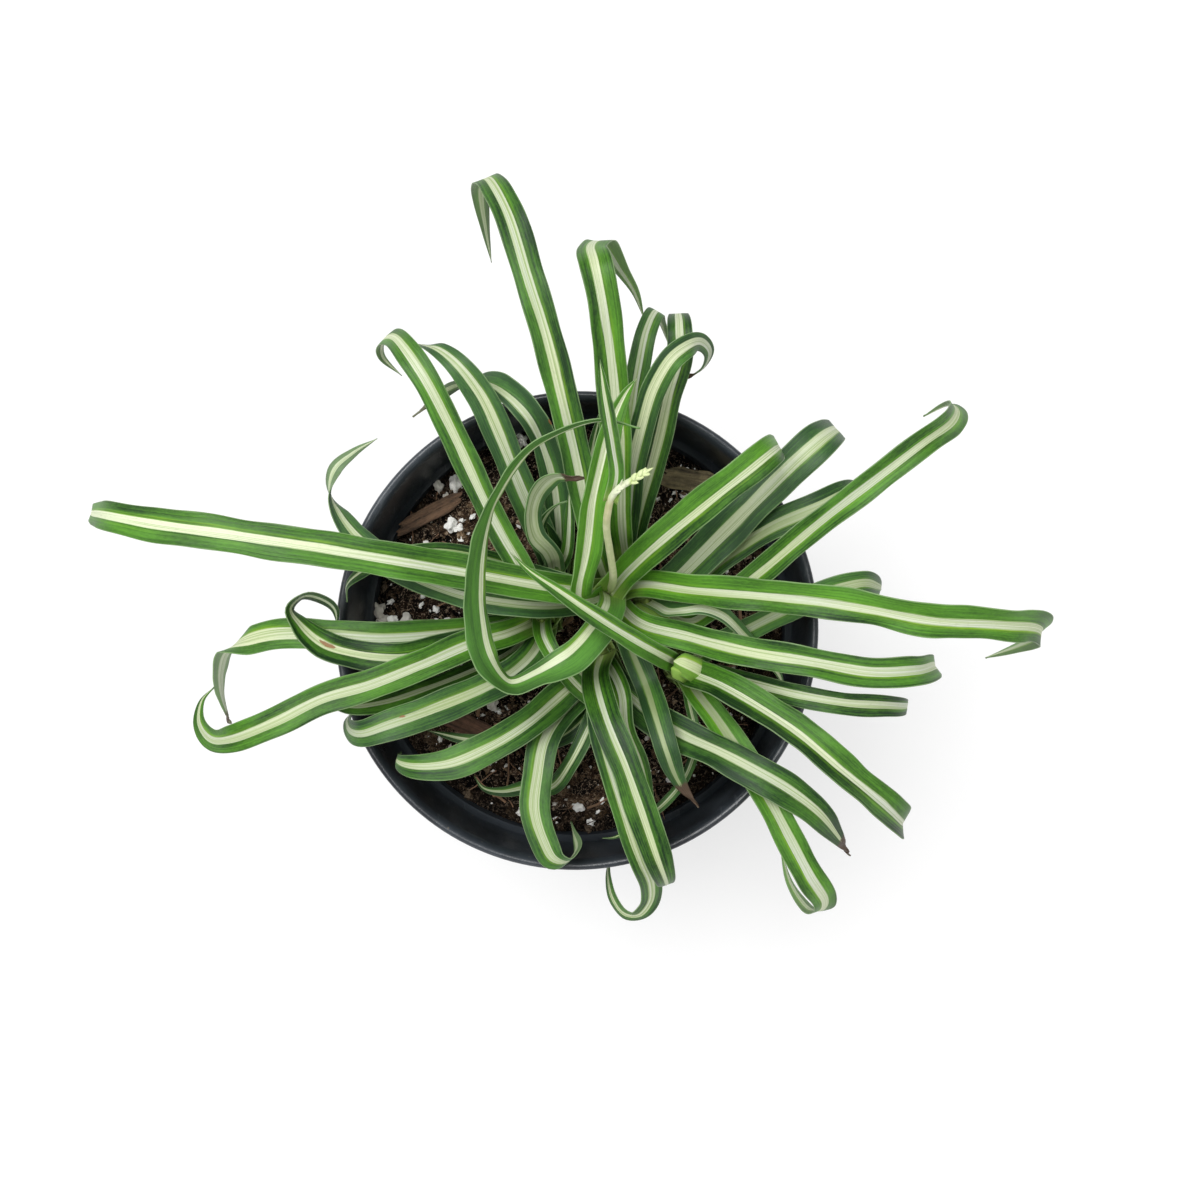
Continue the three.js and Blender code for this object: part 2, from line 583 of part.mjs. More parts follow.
// ---- the plant ----
const plant = new THREE.Group();
plant.add(named('pot', toGeometry(makePot()), 'pot'));
plant.add(named('soil', toGeometry(makeSoil()), 'soil'));
for (const chip of chips) plant.add(named(chip[0], toGeometry(makeChip(chip)), 'bark'));
for (const name of Object.keys(crowns)) {
  plant.add(named(`crown_${name}`, toGeometry(makeCrown(name)), 'crown'));
}
for (const leaf of leaves) {
  const solid = blade(leaf, stubLength + clearance, Infinity);
  plant.add(named(`leaf_${leaf[0]}`, toGeometry(solid), 'leaf'));
}
plant.add(named('flower_stalk', toGeometry(makeStalk()), 'stalk'));

export default plant;
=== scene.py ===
import math
import random
import bpy
import numpy as np
from mathutils import Matrix, Vector, noise


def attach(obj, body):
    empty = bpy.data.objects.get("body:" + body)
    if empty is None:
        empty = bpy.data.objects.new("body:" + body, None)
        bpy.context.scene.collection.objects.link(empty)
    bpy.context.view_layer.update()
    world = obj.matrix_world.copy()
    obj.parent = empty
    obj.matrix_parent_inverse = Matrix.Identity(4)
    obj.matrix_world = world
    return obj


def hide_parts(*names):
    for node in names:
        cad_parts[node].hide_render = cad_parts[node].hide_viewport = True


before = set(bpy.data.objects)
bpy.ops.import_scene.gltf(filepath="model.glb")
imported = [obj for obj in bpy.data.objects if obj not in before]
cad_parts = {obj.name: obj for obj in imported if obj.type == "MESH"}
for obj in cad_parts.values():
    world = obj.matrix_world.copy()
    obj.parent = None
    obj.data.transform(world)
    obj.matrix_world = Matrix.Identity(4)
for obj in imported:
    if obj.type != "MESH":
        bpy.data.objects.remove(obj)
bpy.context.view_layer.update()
mm = 0.001


# small tools that every piece uses

def linear(red, green, blue):
    # 0 to 255 as seen on a screen, to the light values that shaders use
    return tuple((c / 255 / 12.92 if c <= 10 else ((c / 255 + 0.055) / 1.055) ** 2.4)
                 for c in (red, green, blue)) + (1,)


def smoothStep(t):
    t = np.clip(t, 0, 1)
    return t * t * (3 - 2 * t)


def pick(*pieces):
    # these pieces are selected, and nothing else
    bpy.ops.object.select_all(action="DESELECT")
    for piece in pieces:
        piece.select_set(True)
    bpy.context.view_layer.objects.active = pieces[0]


def newest(name):
    piece = bpy.context.object
    piece.name = name
    piece.data.name = name
    return piece


def settle(piece):
    # place, turn and size go into the mesh
    pick(piece)
    bpy.ops.object.transform_apply(location=True, rotation=True, scale=True)


def editAll():
    bpy.ops.object.mode_set(mode="EDIT")
    bpy.ops.mesh.select_all(action="SELECT")


def closeShell():
    # fills the selected rim and points every face outwards
    bpy.ops.mesh.edge_face_add()
    bpy.ops.mesh.select_all(action="SELECT")
    bpy.ops.mesh.normals_make_consistent(inside=False)
    bpy.ops.object.mode_set(mode="OBJECT")


def smooth(piece, angle=180):
    # edges sharper than the angle stay sharp
    pick(piece)
    if angle == 180:
        bpy.ops.object.shade_smooth()
    else:
        bpy.ops.object.shade_smooth_by_angle(angle=math.radians(angle))


def applyModifier(piece, kind, **settings):
    modifier = piece.modifiers.new(kind, kind)
    for key, value in settings.items():
        setattr(modifier, key, value)
    pick(piece)
    bpy.ops.object.modifier_apply(modifier=modifier.name)


def joined(name, pieces):
    pick(*pieces)
    bpy.ops.object.join()
    return newest(name)


def copyOf(piece, matrix):
    copy = piece.copy()
    copy.data = piece.data.copy()
    copy.data.transform(matrix)
    bpy.context.collection.objects.link(copy)
    return copy


def numbersOf(piece):
    values = np.empty(len(piece.data.vertices) * 3)
    piece.data.vertices.foreach_get("co", values)
    return values.reshape(-1, 3)


def pointValue(piece, name, values):
    # an attribute that the paints read: one value, or one for each point
    layer = piece.data.attributes.new(name, "FLOAT", "POINT")
    every = np.broadcast_to(values, len(piece.data.vertices))
    layer.data.foreach_set("value", every.astype(float))


def finishPiece(piece, slotName, paints, *nodes):
    for paint in paints:
        piece.data.materials.append(paint)
    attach(piece, "root")
    if nodes:
        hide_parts(*nodes)
    return piece


# shader maths as plain expressions

class Signal:
    def __init__(self, paint, socket):
        self.paint, self.socket = paint, socket

    def math(self, operation, *others):
        return self.paint.node("ShaderNodeMath", {"operation": operation},
                               dict(enumerate((self, *others))))

    def __add__(self, other):
        return self.math("ADD", other)

    __radd__ = __add__

    def __mul__(self, other):
        return self.math("MULTIPLY", other)

    __rmul__ = __mul__

    def __sub__(self, other):
        return self.math("SUBTRACT", other)

    def __rsub__(self, other):
        return (self * -1) + other

    def __truediv__(self, other):
        return self.math("DIVIDE", other)

    def __pow__(self, other):
        return self.math("POWER", other)

    def __abs__(self):
        return self.math("ABSOLUTE")

    def held(self):
        return self.math("MAXIMUM", 0).math("MINIMUM", 1)

    def over(self, low, high):
        # 0 below low, 1 above high, smooth between
        return self.paint.node("ShaderNodeMapRange", {"interpolation_type": "SMOOTHSTEP"},
                               {0: self, 1: low, 2: high})


class Paint:
    def __init__(self, name):
        self.material = bpy.data.materials.new(name)
        self.material.use_nodes = True
        self.tree = self.material.node_tree
        self.shader = self.tree.nodes["Principled BSDF"]

    def node(self, kind, settings=None, inputs=None, out=0):
        made = self.tree.nodes.new(kind)
        for key, value in (settings or {}).items():
            setattr(made, key, value)
        for key, value in (inputs or {}).items():
            self.feed(made.inputs[key], value)
        return Signal(self, made.outputs[out])

    def feed(self, socket, value):
        if isinstance(value, Signal):
            self.tree.links.new(value.socket, socket)
        else:
            socket.default_value = linear(*value) if socket.type == "RGBA" else value

    def finish(self, **values):
        for key, value in values.items():
            self.feed(self.shader.inputs[key.replace("_", " ")], value)
        return self.material

    def objectPlace(self):
        return self.node("ShaderNodeTexCoord", out=3)

    def axis(self, place, number):
        return self.node("ShaderNodeSeparateXYZ", None, {0: place}, out=number)

    def mapped(self, place, scale=(1, 1, 1), shift=(0, 0, 0), turn=0):
        return self.node("ShaderNodeMapping", None,
                         {0: place, 1: shift, 2: (0, 0, turn), 3: scale})

    def noise(self, place, scale, detail=2.0, roughness=0.5, warp=0.0):
        return self.node("ShaderNodeTexNoise", None, {
            "Vector": place, "Scale": scale, "Detail": detail, "Roughness": roughness,
            "Distortion": warp})

    def stretched(self, place, scale, *settings):
        # noise with its own scale along each axis
        return self.noise(self.mapped(place, scale), 1, *settings)

    def mix(self, factor, first, second):
        return self.node("ShaderNodeMix", {"data_type": "RGBA"},
                         {0: factor, 6: first, 7: second}, out=2)

    def coats(self, colour, *coats):
        # each coat: how far it covers what is below, and its colour
        for cover, coat in coats:
            colour = self.mix(cover, colour, coat)
        return colour

    def attribute(self, name):
        return self.node("ShaderNodeAttribute", {"attribute_name": name}, out=2)

    def bump(self, height, strength, distance):
        return self.node("ShaderNodeBump", None, {
            "Height": height, "Strength": strength, "Distance": distance})


# camera, floor and lights
stageLook = {
    "cameraPlace": (7.2 * mm, 9.65 * mm, 640 * mm), "lens": 47.56, "sensor": 36,
    "floorSize": 30.0, "floorColour": (170, 170, 170), "floorGlow": 0.58, "world": 0.40,
    "lampAim": (0, 0, 0.12),
    # name, place, power in watts, size
    "lamps": [
        ("lampKey", (-0.6, 0.6, 2.3), 50.0, 1.4),
        ("lampFill", (1.4, -0.7, 1.8), 9.0, 1.6),
        ("lampLow", (-0.5, -1.9, 1.0), 5.0, 1.2),
    ],
}


def makeStage(look):
    bpy.ops.object.camera_add(location=look["cameraPlace"], rotation=(0, 0, 0))
    camera = bpy.context.object
    camera.data.lens = look["lens"]
    camera.data.sensor_width = look["sensor"]
    camera.data.dof.use_dof = False
    bpy.context.scene.camera = camera

    bpy.ops.mesh.primitive_plane_add(size=look["floorSize"])
    floor = newest("floor")
    # paper lit from below, so that the shadow on it stays faint
    floor.data.materials.append(Paint("paleFloor").finish(
        Base_Color=look["floorColour"], Roughness=0.8,
        Emission_Color=(255, 255, 255), Emission_Strength=look["floorGlow"]))

    for name, place, power, size in look["lamps"]:
        bpy.ops.object.light_add(type="AREA", location=place)
        lamp = bpy.context.object
        lamp.name = name
        lamp.data.shape = "DISK"
        lamp.data.energy = power
        lamp.data.size = size
        aim = Vector(look["lampAim"]) - Vector(place)
        lamp.rotation_euler = aim.to_track_quat("-Z", "Y").to_euler()

    world = bpy.data.worlds.new("studio")
    bpy.context.scene.world = world
    world.use_nodes = True
    sky = world.node_tree.nodes["Background"]
    sky.inputs["Color"].default_value = (1, 1, 1, 1)
    sky.inputs["Strength"].default_value = look["world"]
    bpy.context.scene.view_settings.view_transform = "Standard"


makeStage(stageLook)
print("stage done")


# pot: a moulded nursery pot, drawn up ring by ring from its underside
potLook = {
    "sides": 160, "smoothAngle": 42,
    # drain slots: how many, radius, depth and sides of their cutters, and where they stand
    "drains": 8, "drainRadius": 5.5, "drainDepth": 18, "drainSides": 32, "drainHeight": 3.8,
    "drainRing": 53,
    # radius and height in mm, from the pad under the middle, up the outside and down inside
    "rings": [
        (18, 0), (20, 2), (45, 2), (47, 0), (53.2, 0), (54, 0.8), (54.6, 6), (69.6, 108.6),
        (70.0, 110.6), (70.9, 112.2), (72.2, 113.0), (72.5, 114.0), (73.9, 135.4), (74.5, 136.6),
        (75.4, 137.2), (75.9, 138.0), (76.0, 138.8), (75.8, 139.5), (75.3, 140.0), (74.6, 140.1),
        (73.9, 139.8), (73.3, 139.2), (72.8, 138.2), (72.4, 136.6), (71.6, 126.0), (70.8, 115.4),
        (70.3, 114.0), (68.6, 113.0), (68.2, 111.6), (52.5, 4.6), (51.6, 3.8), (10, 3.8),
    ],
    # worn: the colour of rubbed wear, and on the lip also a painted highlight
    "plastic": (33, 37, 42), "pale": (58, 64, 71), "wornAndSheen": (116, 120, 124),
    "dust": (120, 112, 98),
    # the rim is slightly out of round: by how much, which way, from which height, over how much
    "outOfRound": 0.5, "roundTurn": 0.6, "roundFrom": 90, "roundOver": 50,
}


def ringsDrawnUp(name, rings, sides):
    radius, height = rings[0]
    bpy.ops.mesh.primitive_circle_add(vertices=sides, radius=radius * mm, fill_type="NGON",
                                      location=(0, 0, height * mm))
    piece = newest(name)
    settle(piece)
    editAll()
    for nextRadius, nextHeight in rings[1:]:
        bpy.ops.mesh.extrude_edges_move(
            TRANSFORM_OT_translate={"value": (0, 0, (nextHeight - height) * mm)})
        share = nextRadius / radius
        bpy.ops.transform.resize(value=(share, share, 1), center_override=(0, 0, nextHeight * mm))
        radius, height = nextRadius, nextHeight
    closeShell()
    return piece


def makePot(look):
    piece = ringsDrawnUp("nurseryPot", look["rings"], look["sides"])
    cutters = []
    for i in range(look["drains"]):
        angle = (i + 0.5) * 2 * math.pi / look["drains"]
        bpy.ops.mesh.primitive_cylinder_add(
            vertices=look["drainSides"], radius=look["drainRadius"] * mm,
            depth=look["drainDepth"] * mm,
            location=(look["drainRing"] * mm * math.cos(angle),
                      look["drainRing"] * mm * math.sin(angle), look["drainHeight"] * mm),
            rotation=(0, math.pi / 2, angle))
        cutters.append(newest("drain"))
    drains = joined("drains", cutters)
    settle(drains)
    applyModifier(piece, "BOOLEAN", object=drains, operation="DIFFERENCE", solver="EXACT")
    bpy.data.objects.remove(drains)
    for vertex in piece.data.vertices:
        angle = math.atan2(vertex.co.y, vertex.co.x)
        share = float(smoothStep((vertex.co.z / mm - look["roundFrom"]) / look["roundOver"]))
        give = look["outOfRound"] * mm * share * math.sin(angle * 2 + look["roundTurn"])
        vertex.co.x += give * math.cos(angle)
        vertex.co.y += give * math.sin(angle)
    smooth(piece, look["smoothAngle"])
    return finishPiece(piece, "pot", [potPaint(look)], "pot")


def potPaint(look):
    paint = Paint("blackPlastic")
    place = paint.objectPlace()
    cloud = paint.noise(place, 34, 4, 0.6)
    fine = paint.noise(place, 1300, 3, 0.6)
    # rubbed streaks that run round the rim, denser on the lip, where they are partly painted highlight
    # for the rim's sheen; fine scratches and specks of dust
    streak = paint.stretched(place, (45, 45, 800), 5, 0.7).over(0.56, 0.74)
    scratch = paint.noise(paint.mapped(place, (700, 90, 90), (0.4, 0, 0)), 1, 2).over(0.66, 0.72)
    dots = paint.noise(place, 620, 1).over(0.74, 0.80)
    height = paint.axis(place, 2)
    # the lip, where the pale streaks are denser: partly wear, partly a painted highlight
    lipWearAndSheen = height.over(0.1350, 0.1396)
    # cloudy paler patches, more of them towards the top
    paleTowardsTop = cloud.over(0.35, 0.7) * (height.over(0.09, 0.13) * 0.65 + 0.35)
    colour = paint.coats(
        look["plastic"], (paleTowardsTop, look["pale"]), (streak * (lipWearAndSheen * 0.35 + 0.10), look["wornAndSheen"]),
        (scratch * 0.10, look["wornAndSheen"]), (dots * 0.5, look["dust"]))
    return paint.finish(
        Base_Color=colour, Roughness=fine * 0.14 + cloud * 0.22 + streak * 0.12 + 0.16,
        Normal=paint.bump(fine * 0.35 + cloud * 1.2 - scratch * 0.4, 0.35, 0.0004))


makePot(potLook)
print("pot done")


# soil: one body that fills the pot, its top made of lumps and gaps, with loose bits on it
soilLook = {
    "seed": 7, "smoothAngle": 60, "grainAngle": 50,
    # height and radius of the top, radius and height of the foot
    "level": 114, "neck": 67.8, "footRadius": 52.0, "foot": 4.1, "cells": 290,
    # relief: a slow swell, size and height of clods and crumbs, grit, and how the edge drops
    "swell": 1.4, "clod": (6.0, 2.2), "crumb": (2.3, 1.1), "grit": 0.5,
    "edgeFrom": 59, "edgeOver": 9, "edgeDrop": 3.6,
    # loose bits, kept off the wall: sizes, how flat they are, how far they stand up
    "wallGap": 1.5, "crumbs": {"count": 2100, "sizes": (0.7, 3.6)},
    "fibres": {"count": 190, "sizes": (4, 14), "flat": 3, "lift": 0.06},
    "whites": {"count": 640, "sizes": (0.45, 1.9), "lift": 0.22},
    # coarser clods: x, y, size
    "bigCrumbs": {"flat": 0.6, "lift": 0.05, "tint": 0.35, "places": [
        (-46.9, 32.9, 6), (-57.5, 13.5, 6), (-40, 24, 5), (-36, -28, 6), (2, -52, 6),
        (-6, -60, 5), (27, -47, 5), (52, 12, 5), (-31, 8, 5), (-22, -40, 5),
    ]},
    # white grains that stand out in the view from above: x, y, longest size
    "bigWhites": {"flat": 0.7, "lift": 0.2, "places": [
        (-41, 48, 6.6), (-46.5, 47.5, 4.0), (-42, 34.5, 4.2), (-39.6, 33.4, 2.8),
        (-66.4, 5.8, 5.2), (-64.8, 2.6, 4.4), (-61.2, 2.4, 4.0), (-57, 3, 4.6), (-62.4, 9, 2.6),
        (-46.6, 1.4, 4.0), (-43, 2.4, 3.6), (-50.8, 1.0, 2.2), (-47, 6.5, 2.4), (-51.5, 11, 1.8),
        (-28.5, -25, 3.6), (-26, -27.5, 2.0), (-19, 63, 5), (0, -59, 3.6), (-39, 30, 2),
        (-50, 28, 2.6), (-35, 37, 2.4), (-33, 34, 2.0), (-56, -4, 2), (-53, 15, 2),
        (19, -59, 2.4), (40, 43, 2.4), (54, -4, 2.2), (45, -38, 3.0), (4, -64, 2.6),
        (-19, -61, 2.8), (-36, -24, 2.2), (-44, 44, 2.4), (-32, 40, 2.2), (-33, 50, 2),
        (-52, 8, 2), (14, -52, 2.0), (8, -57, 2.2), (-12, -56, 2.0), (30, -50, 2.4),
        (56, -20, 2.4), (50, -30, 2.0), (36, 44, 2.0), (44, 36, 2.2),
    ]},
}
chipLook = {
    # height of their middle over the soil's level, and cuts along each edge
    "rise": 1.4, "cuts": 22, "smoothAngle": 40,
    # name, x, y, length, width, height, turn in degrees, colour
    "chips": [
        ("bark_north_west", -49, 38.3, 23, 5.2, 2.4, 27, (88, 68, 52)),
        ("bark_north_east", 36.6, 49.3, 18, 7.4, 2.6, -10, (104, 94, 70)),
        ("bark_south_west", -36.8, -31.7, 20, 6.6, 2.4, -25, (92, 68, 54)),
    ],
}


def clods(x, y, size, seed):
    # rounded lumps of one size: 1 on their tops, 0 in the gaps
    near = noise.voronoi(Vector((x / size, y / size, seed)))[0][0]
    return max(0.0, 1 - near * 1.15)


def soilRelief(x, y):
    # height over the smooth level, in mm
    swell = noise.fractal(Vector((x * 0.05, y * 0.05, 1.7)), 0.6, 2.1, 3)
    where = noise.noise(Vector((x * 0.09, y * 0.09, 4.4))) * 0.5 + 0.5
    coarse = clods(x, y, soilLook["clod"][0], 0.5) * where
    small = clods(x, y, soilLook["crumb"][0], 3.5)
    grit = noise.fractal(Vector((x * 0.9, y * 0.9, 9.1)), 0.7, 2.2, 3)
    return (soilLook["swell"] * swell + soilLook["clod"][1] * (coarse - 0.3)
            + soilLook["crumb"][1] * (small - 0.5) + soilLook["grit"] * grit)


def soilTop(x, y):
    # it drops along the wall, and lies calmer under the bark
    edge = float(smoothStep((math.hypot(x, y) - soilLook["edgeFrom"]) / soilLook["edgeOver"]))
    chip = min(math.hypot((x - row[1]) / 10, (y - row[2]) / 5) for row in chipLook["chips"])
    calm = float(smoothStep((chip - 0.6) / 0.8)) * 0.7 + 0.3
    return soilLook["level"] + soilRelief(x, y) * calm - edge * soilLook["edgeDrop"]


def soilBody(look):
    bpy.ops.mesh.primitive_grid_add(x_subdivisions=look["cells"], y_subdivisions=look["cells"],
                                    size=2)
    piece = newest("potSoil")
    relief = []
    for vertex in piece.data.vertices:
        u, v = vertex.co.x, vertex.co.y
        # a square grid eased into a disc
        x = look["neck"] * u * math.sqrt(1 - v * v / 2)
        y = look["neck"] * v * math.sqrt(1 - u * u / 2)
        vertex.co = (x * mm, y * mm, soilTop(x, y) * mm)
        relief.append(soilRelief(x, y))
    pointValue(piece, "relief", relief)
    editAll()
    bpy.ops.mesh.region_to_loop()
    bpy.ops.mesh.extrude_edges_move()
    share = look["footRadius"] / look["neck"]
    bpy.ops.transform.resize(value=(share, share, 0), center_override=(0, 0, look["foot"] * mm))
    closeShell()
    smooth(piece, look["smoothAngle"])
    return piece


def lumps(name, count, subdivisions, roughness, seed, step):
    # rough bits of 1 mm across, each with its own seed
    made = []
    for k in range(count):
        bpy.ops.mesh.primitive_ico_sphere_add(subdivisions=subdivisions, radius=0.5 * mm)
        piece = newest("%s%d" % (name, k))
        start = Vector((k * step + seed, 0, 0))
        for vertex in piece.data.vertices:
            vertex.co *= 1 + roughness * noise.noise(vertex.co.normalized() * 1.4 + start)
        made.append(piece)
    return made


def fibre():
    bpy.ops.mesh.primitive_cylinder_add(vertices=4, radius=0.035 * mm, depth=1 * mm,
                                        rotation=(0, math.pi / 2, 0))
    piece = newest("fibre")
    settle(piece)
    editAll()
    bpy.ops.mesh.subdivide(number_cuts=3)
    bpy.ops.object.mode_set(mode="OBJECT")
    for vertex in piece.data.vertices:
        vertex.co.y += 0.18 * mm * math.sin(vertex.co.x / mm * 3)
    return piece


def scatter(models, draw, count=0, sizes=(0, 0), flat=0.8, lift=0.1, places=(), tint=1.0):
    # copies of the models in turn, at the places, or else all over the soil
    copies = []
    for i in range(count or len(places)):
        if places:
            x, y, size = places[i]
        else:
            reach = (soilLook["neck"] - soilLook["wallGap"]) * math.sqrt(draw.random())
            angle = draw.uniform(0, 2 * math.pi)
            x, y = reach * math.cos(angle), reach * math.sin(angle)
            size = sizes[0] + (sizes[1] - sizes[0]) * draw.random() ** 2
        turn = Matrix.Rotation(draw.uniform(0, 6.28), 4, "Z")
        tilt = Matrix.Rotation(draw.uniform(-0.5, 0.5), 4, "X")
        shape = Matrix.Diagonal((size, size * draw.uniform(0.55, 0.95), size * flat, 1))
        place = Matrix.Translation((x * mm, y * mm, (soilTop(x, y) + size * lift) * mm))
        copy = copyOf(models[i % len(models)], place @ turn @ tilt @ shape)
        pointValue(copy, "tint", draw.random() * tint)
        copies.append(copy)
    for model in models:
        bpy.data.objects.remove(model)
    return copies


def makeSoil(look):
    draw = random.Random(look["seed"])
    finishPiece(soilBody(look), "soil", [peatPaint()], "soil")
    crumbs = scatter(lumps("crumb", 5, 2, 1.3, 0, 3.1), draw, **look["crumbs"])
    crumbs += scatter(lumps("clump", 3, 3, 1.2, 2, 5.3), draw, **look["bigCrumbs"])
    finishPiece(joined("peatCrumbs", crumbs), "soil", [crumbPaint()])
    strands = scatter([fibre()], draw, **look["fibres"])
    finishPiece(joined("peatFibres", strands), "soil", [fibrePaint()])
    whites = scatter(lumps("grain", 4, 2, 0.9, 5, 2.7), draw, **look["whites"])
    whites += scatter(lumps("grainBig", 4, 3, 0.75, 11, 4.1), draw, **look["bigWhites"])
    grains = joined("whiteGrains", whites)
    smooth(grains, look["grainAngle"])
    finishPiece(grains, "soil", [whitePaint()])


def flecked(paint, place, colour):
    # dark gaps of painted shade and pale shreds, one or two mm long, and painted shade on the peat along
    # the pot's wall
    gapShade = paint.noise(place, 620, 3, 0.6, 1.2)
    shred = paint.noise(place, 520, 2, 0.5, 3.0)
    x, y = paint.axis(place, 0), paint.axis(place, 1)
    reach = (x * x + y * y) ** 0.5 + (gapShade - 0.5) * 0.02
    return paint.coats(
        colour, (gapShade.over(0.49, 0.38) * 0.8, (12, 9, 7)),
        (shred.over(0.56, 0.63) * 0.75, (176, 156, 134)),
        # painted shade along the wall, where the soil lies in the pot's shadow
        (reach.over(0.054, 0.067) * 0.65, (13, 11, 9)))


def peatPaint():
    paint = Paint("peat")
    place = paint.objectPlace()
    coarse = paint.noise(place, 170, 6, 0.65)
    fine = paint.noise(place, 1500, 5, 0.75)
    gold = paint.noise(place, 60, 3).over(0.52, 0.68)
    height = paint.attribute("relief") + (fine - 0.5) * 1.6 + (coarse - 0.5) * 1.6
    # dark in the gaps as painted shade, brown, then pale and golden on the tops, where the pale is
    # painted light
    colour = paint.coats(
        (6, 4, 3), (height.over(-1.0, 0.5), (66, 50, 38)),
        (height.over(0.3, 1.4), (132, 110, 86)),
        (gold * height.over(0.0, 1.2) * 0.6, (146, 116, 62)),
        (fine.over(0.58, 0.70) * height.over(-0.6, 0.6), (196, 164, 132)))
    return paint.finish(
        Base_Color=flecked(paint, place, colour), Roughness=fine * 0.3 + 0.6,
        Specular_IOR_Level=0.08, Normal=paint.bump(fine + coarse, 1.0, 0.0014))


def crumbPaint():
    paint = Paint("peatBits")
    place = paint.objectPlace()
    patch = paint.noise(place, 500, 4, 0.65)
    grain = paint.noise(place, 2600, 3, 0.7)
    tone = paint.attribute("tint") * 0.8 + (patch - 0.5) * 1.2 + (grain - 0.5) * 0.7
    colour = paint.coats(
        (14, 10, 7), (tone.over(0.0, 0.35), (72, 55, 42)),
        (tone.over(0.32, 0.62), (120, 98, 74)), (tone.over(0.66, 0.92), (196, 174, 148)))
    return paint.finish(
        Base_Color=flecked(paint, place, colour), Roughness=grain * 0.2 + 0.7,
        Specular_IOR_Level=0.1, Normal=paint.bump(grain + patch, 0.9, 0.0007))


def fibrePaint():
    paint = Paint("peatStrands")
    tone = paint.attribute("tint") + paint.noise(paint.objectPlace(), 700, 2) - 0.5
    return paint.finish(
        Base_Color=paint.mix(tone.over(0.2, 0.8), (70, 50, 36), (172, 136, 108)),
        Roughness=0.85)


def whitePaint():
    paint = Paint("perlite")
    pores = paint.noise(paint.objectPlace(), 1900, 4, 0.7)
    stain = paint.attribute("tint").over(0.62, 0.95)
    colour = paint.coats((250, 249, 244), (pores.over(0.58, 0.74) * 0.45, (158, 154, 144)),
                         (stain * 0.6, (170, 158, 140)))
    return paint.finish(Base_Color=colour, Roughness=0.9,
                        Normal=paint.bump(pores, 0.8, 0.0006))


def makeChip(look, name, x, y, length, width, height, turn, colour):
    draw = random.Random(name)
    bpy.ops.mesh.primitive_cube_add(size=1)
    piece = newest(name + "_chip")
    piece.scale = (length * mm, width * mm, height * mm)
    settle(piece)
    editAll()
    bpy.ops.mesh.subdivide(number_cuts=look["cuts"])
    bpy.ops.object.mode_set(mode="OBJECT")
    seed = Vector((draw.uniform(0, 50), 0, 0))
    for vertex in piece.data.vertices:
        across = vertex.co.y / (width * mm)
        along = vertex.co.x / (length * mm)
        # broken ends, rounded corners, a worn outline and layers along the grain
        vertex.co.y *= 1 - 0.35 * abs(along * 2) ** 5 + 0.16 * noise.noise(
            Vector((along * 4, 7 if across > 0 else 0, 0)) + seed)
        vertex.co.z *= 1 - 0.35 * abs(across * 2) ** 3
        layers = noise.noise(Vector((along * 2.2, across * 9, 0)) + seed)
        pits = noise.fractal(Vector((along * 9, across * 6, 3)) + seed, 0.7, 2.1, 3)
        vertex.co.z += (0.35 * layers + 0.22 * pits) * mm
        vertex.co.x += 1.5 * mm * noise.noise(Vector((across * 5, 0, along)) + seed)
        vertex.co.x += 0.12 * length * mm * across
    place = Matrix.Translation((x * mm, y * mm, (soilLook["level"] + look["rise"]) * mm))
    piece.data.transform(place @ Matrix.Rotation(math.radians(turn), 4, "Z"))
    smooth(piece, look["smoothAngle"])
    return finishPiece(piece, "bark", [barkPaint(name, turn, colour)], name)


def barkPaint(name, turn, colour):
    paint = Paint("bark_" + name)
    turned = paint.mapped(paint.objectPlace(), turn=-math.radians(turn))
    grain = paint.stretched(turned, (70, 700, 500), 5, 0.65)
    pits = paint.noise(turned, 420, 4, 0.7)
    light, dark, deepest = ([min(255, c * share) for c in colour] for share in (1.35, 0.55, 0.35))
    tone = paint.coats(dark, ((grain * 0.7 + pits * 0.3).over(0.3, 0.68), light),
                       (pits.over(0.58, 0.75) * 0.6, deepest))
    return paint.finish(Base_Color=tone, Roughness=0.9,
                        Normal=paint.bump(grain + pits, 0.9, 0.0009))


makeSoil(soilLook)
print("soil done")
for chip in chipLook["chips"]:
    makeChip(chipLook, *chip)
print("bark done")


# leaves: each a grid laid along its own midrib, given a channel, waved edges and its thickness
crownPlaces = {
    "centre": [(10.4, 12.2), (15.0, 20.7), (22.1, 10.3)], "east": [(34.5, -12.4)],
    "west": [(-11.3, 3.8)], "north_west": [(-6.8, 18.1)], "south": [(7.5, -8.2)],
}
bladeLook = {
    "across": 16, "step": 1.1, "samples": 40, "thickness": 0.62, "edgeShare": 0.4,
    "channel": 0.42, "tipShare": 0.03, "footFold": 0.45, "footSpread": 0.25, "footLength": 16,
    # how far the edges bulge, and in mm: lengths of bulges, of each edge's ripples, of fine waves
    "uneven": 0.045, "bulges": (6.3, 2.9), "ripples": (5.2, 4.6),
    "fineWave": 0.14, "fineLength": 1.7,
    # a dry tip: how much narrower it is, how far it curls up and down, and over what length
    "shrink": 0.25, "crinkle": 0.7, "crinkleLength": 0.9,
    # a leaf's usual wave, fold and taper
    "shape": (0.5, None, 0.6),
}
# brown marks on leaves: x, y, length along the leaf, breadth across it
leafMarks = {
    "w_ring": [(-75.5, -4.0, 3.6, 0.75)], "nw_high": [(-7.2, 62.5, 0.9, 0.7)],
    "sw_wide": [(-52, -25.5, 1.1, 0.5)],
}
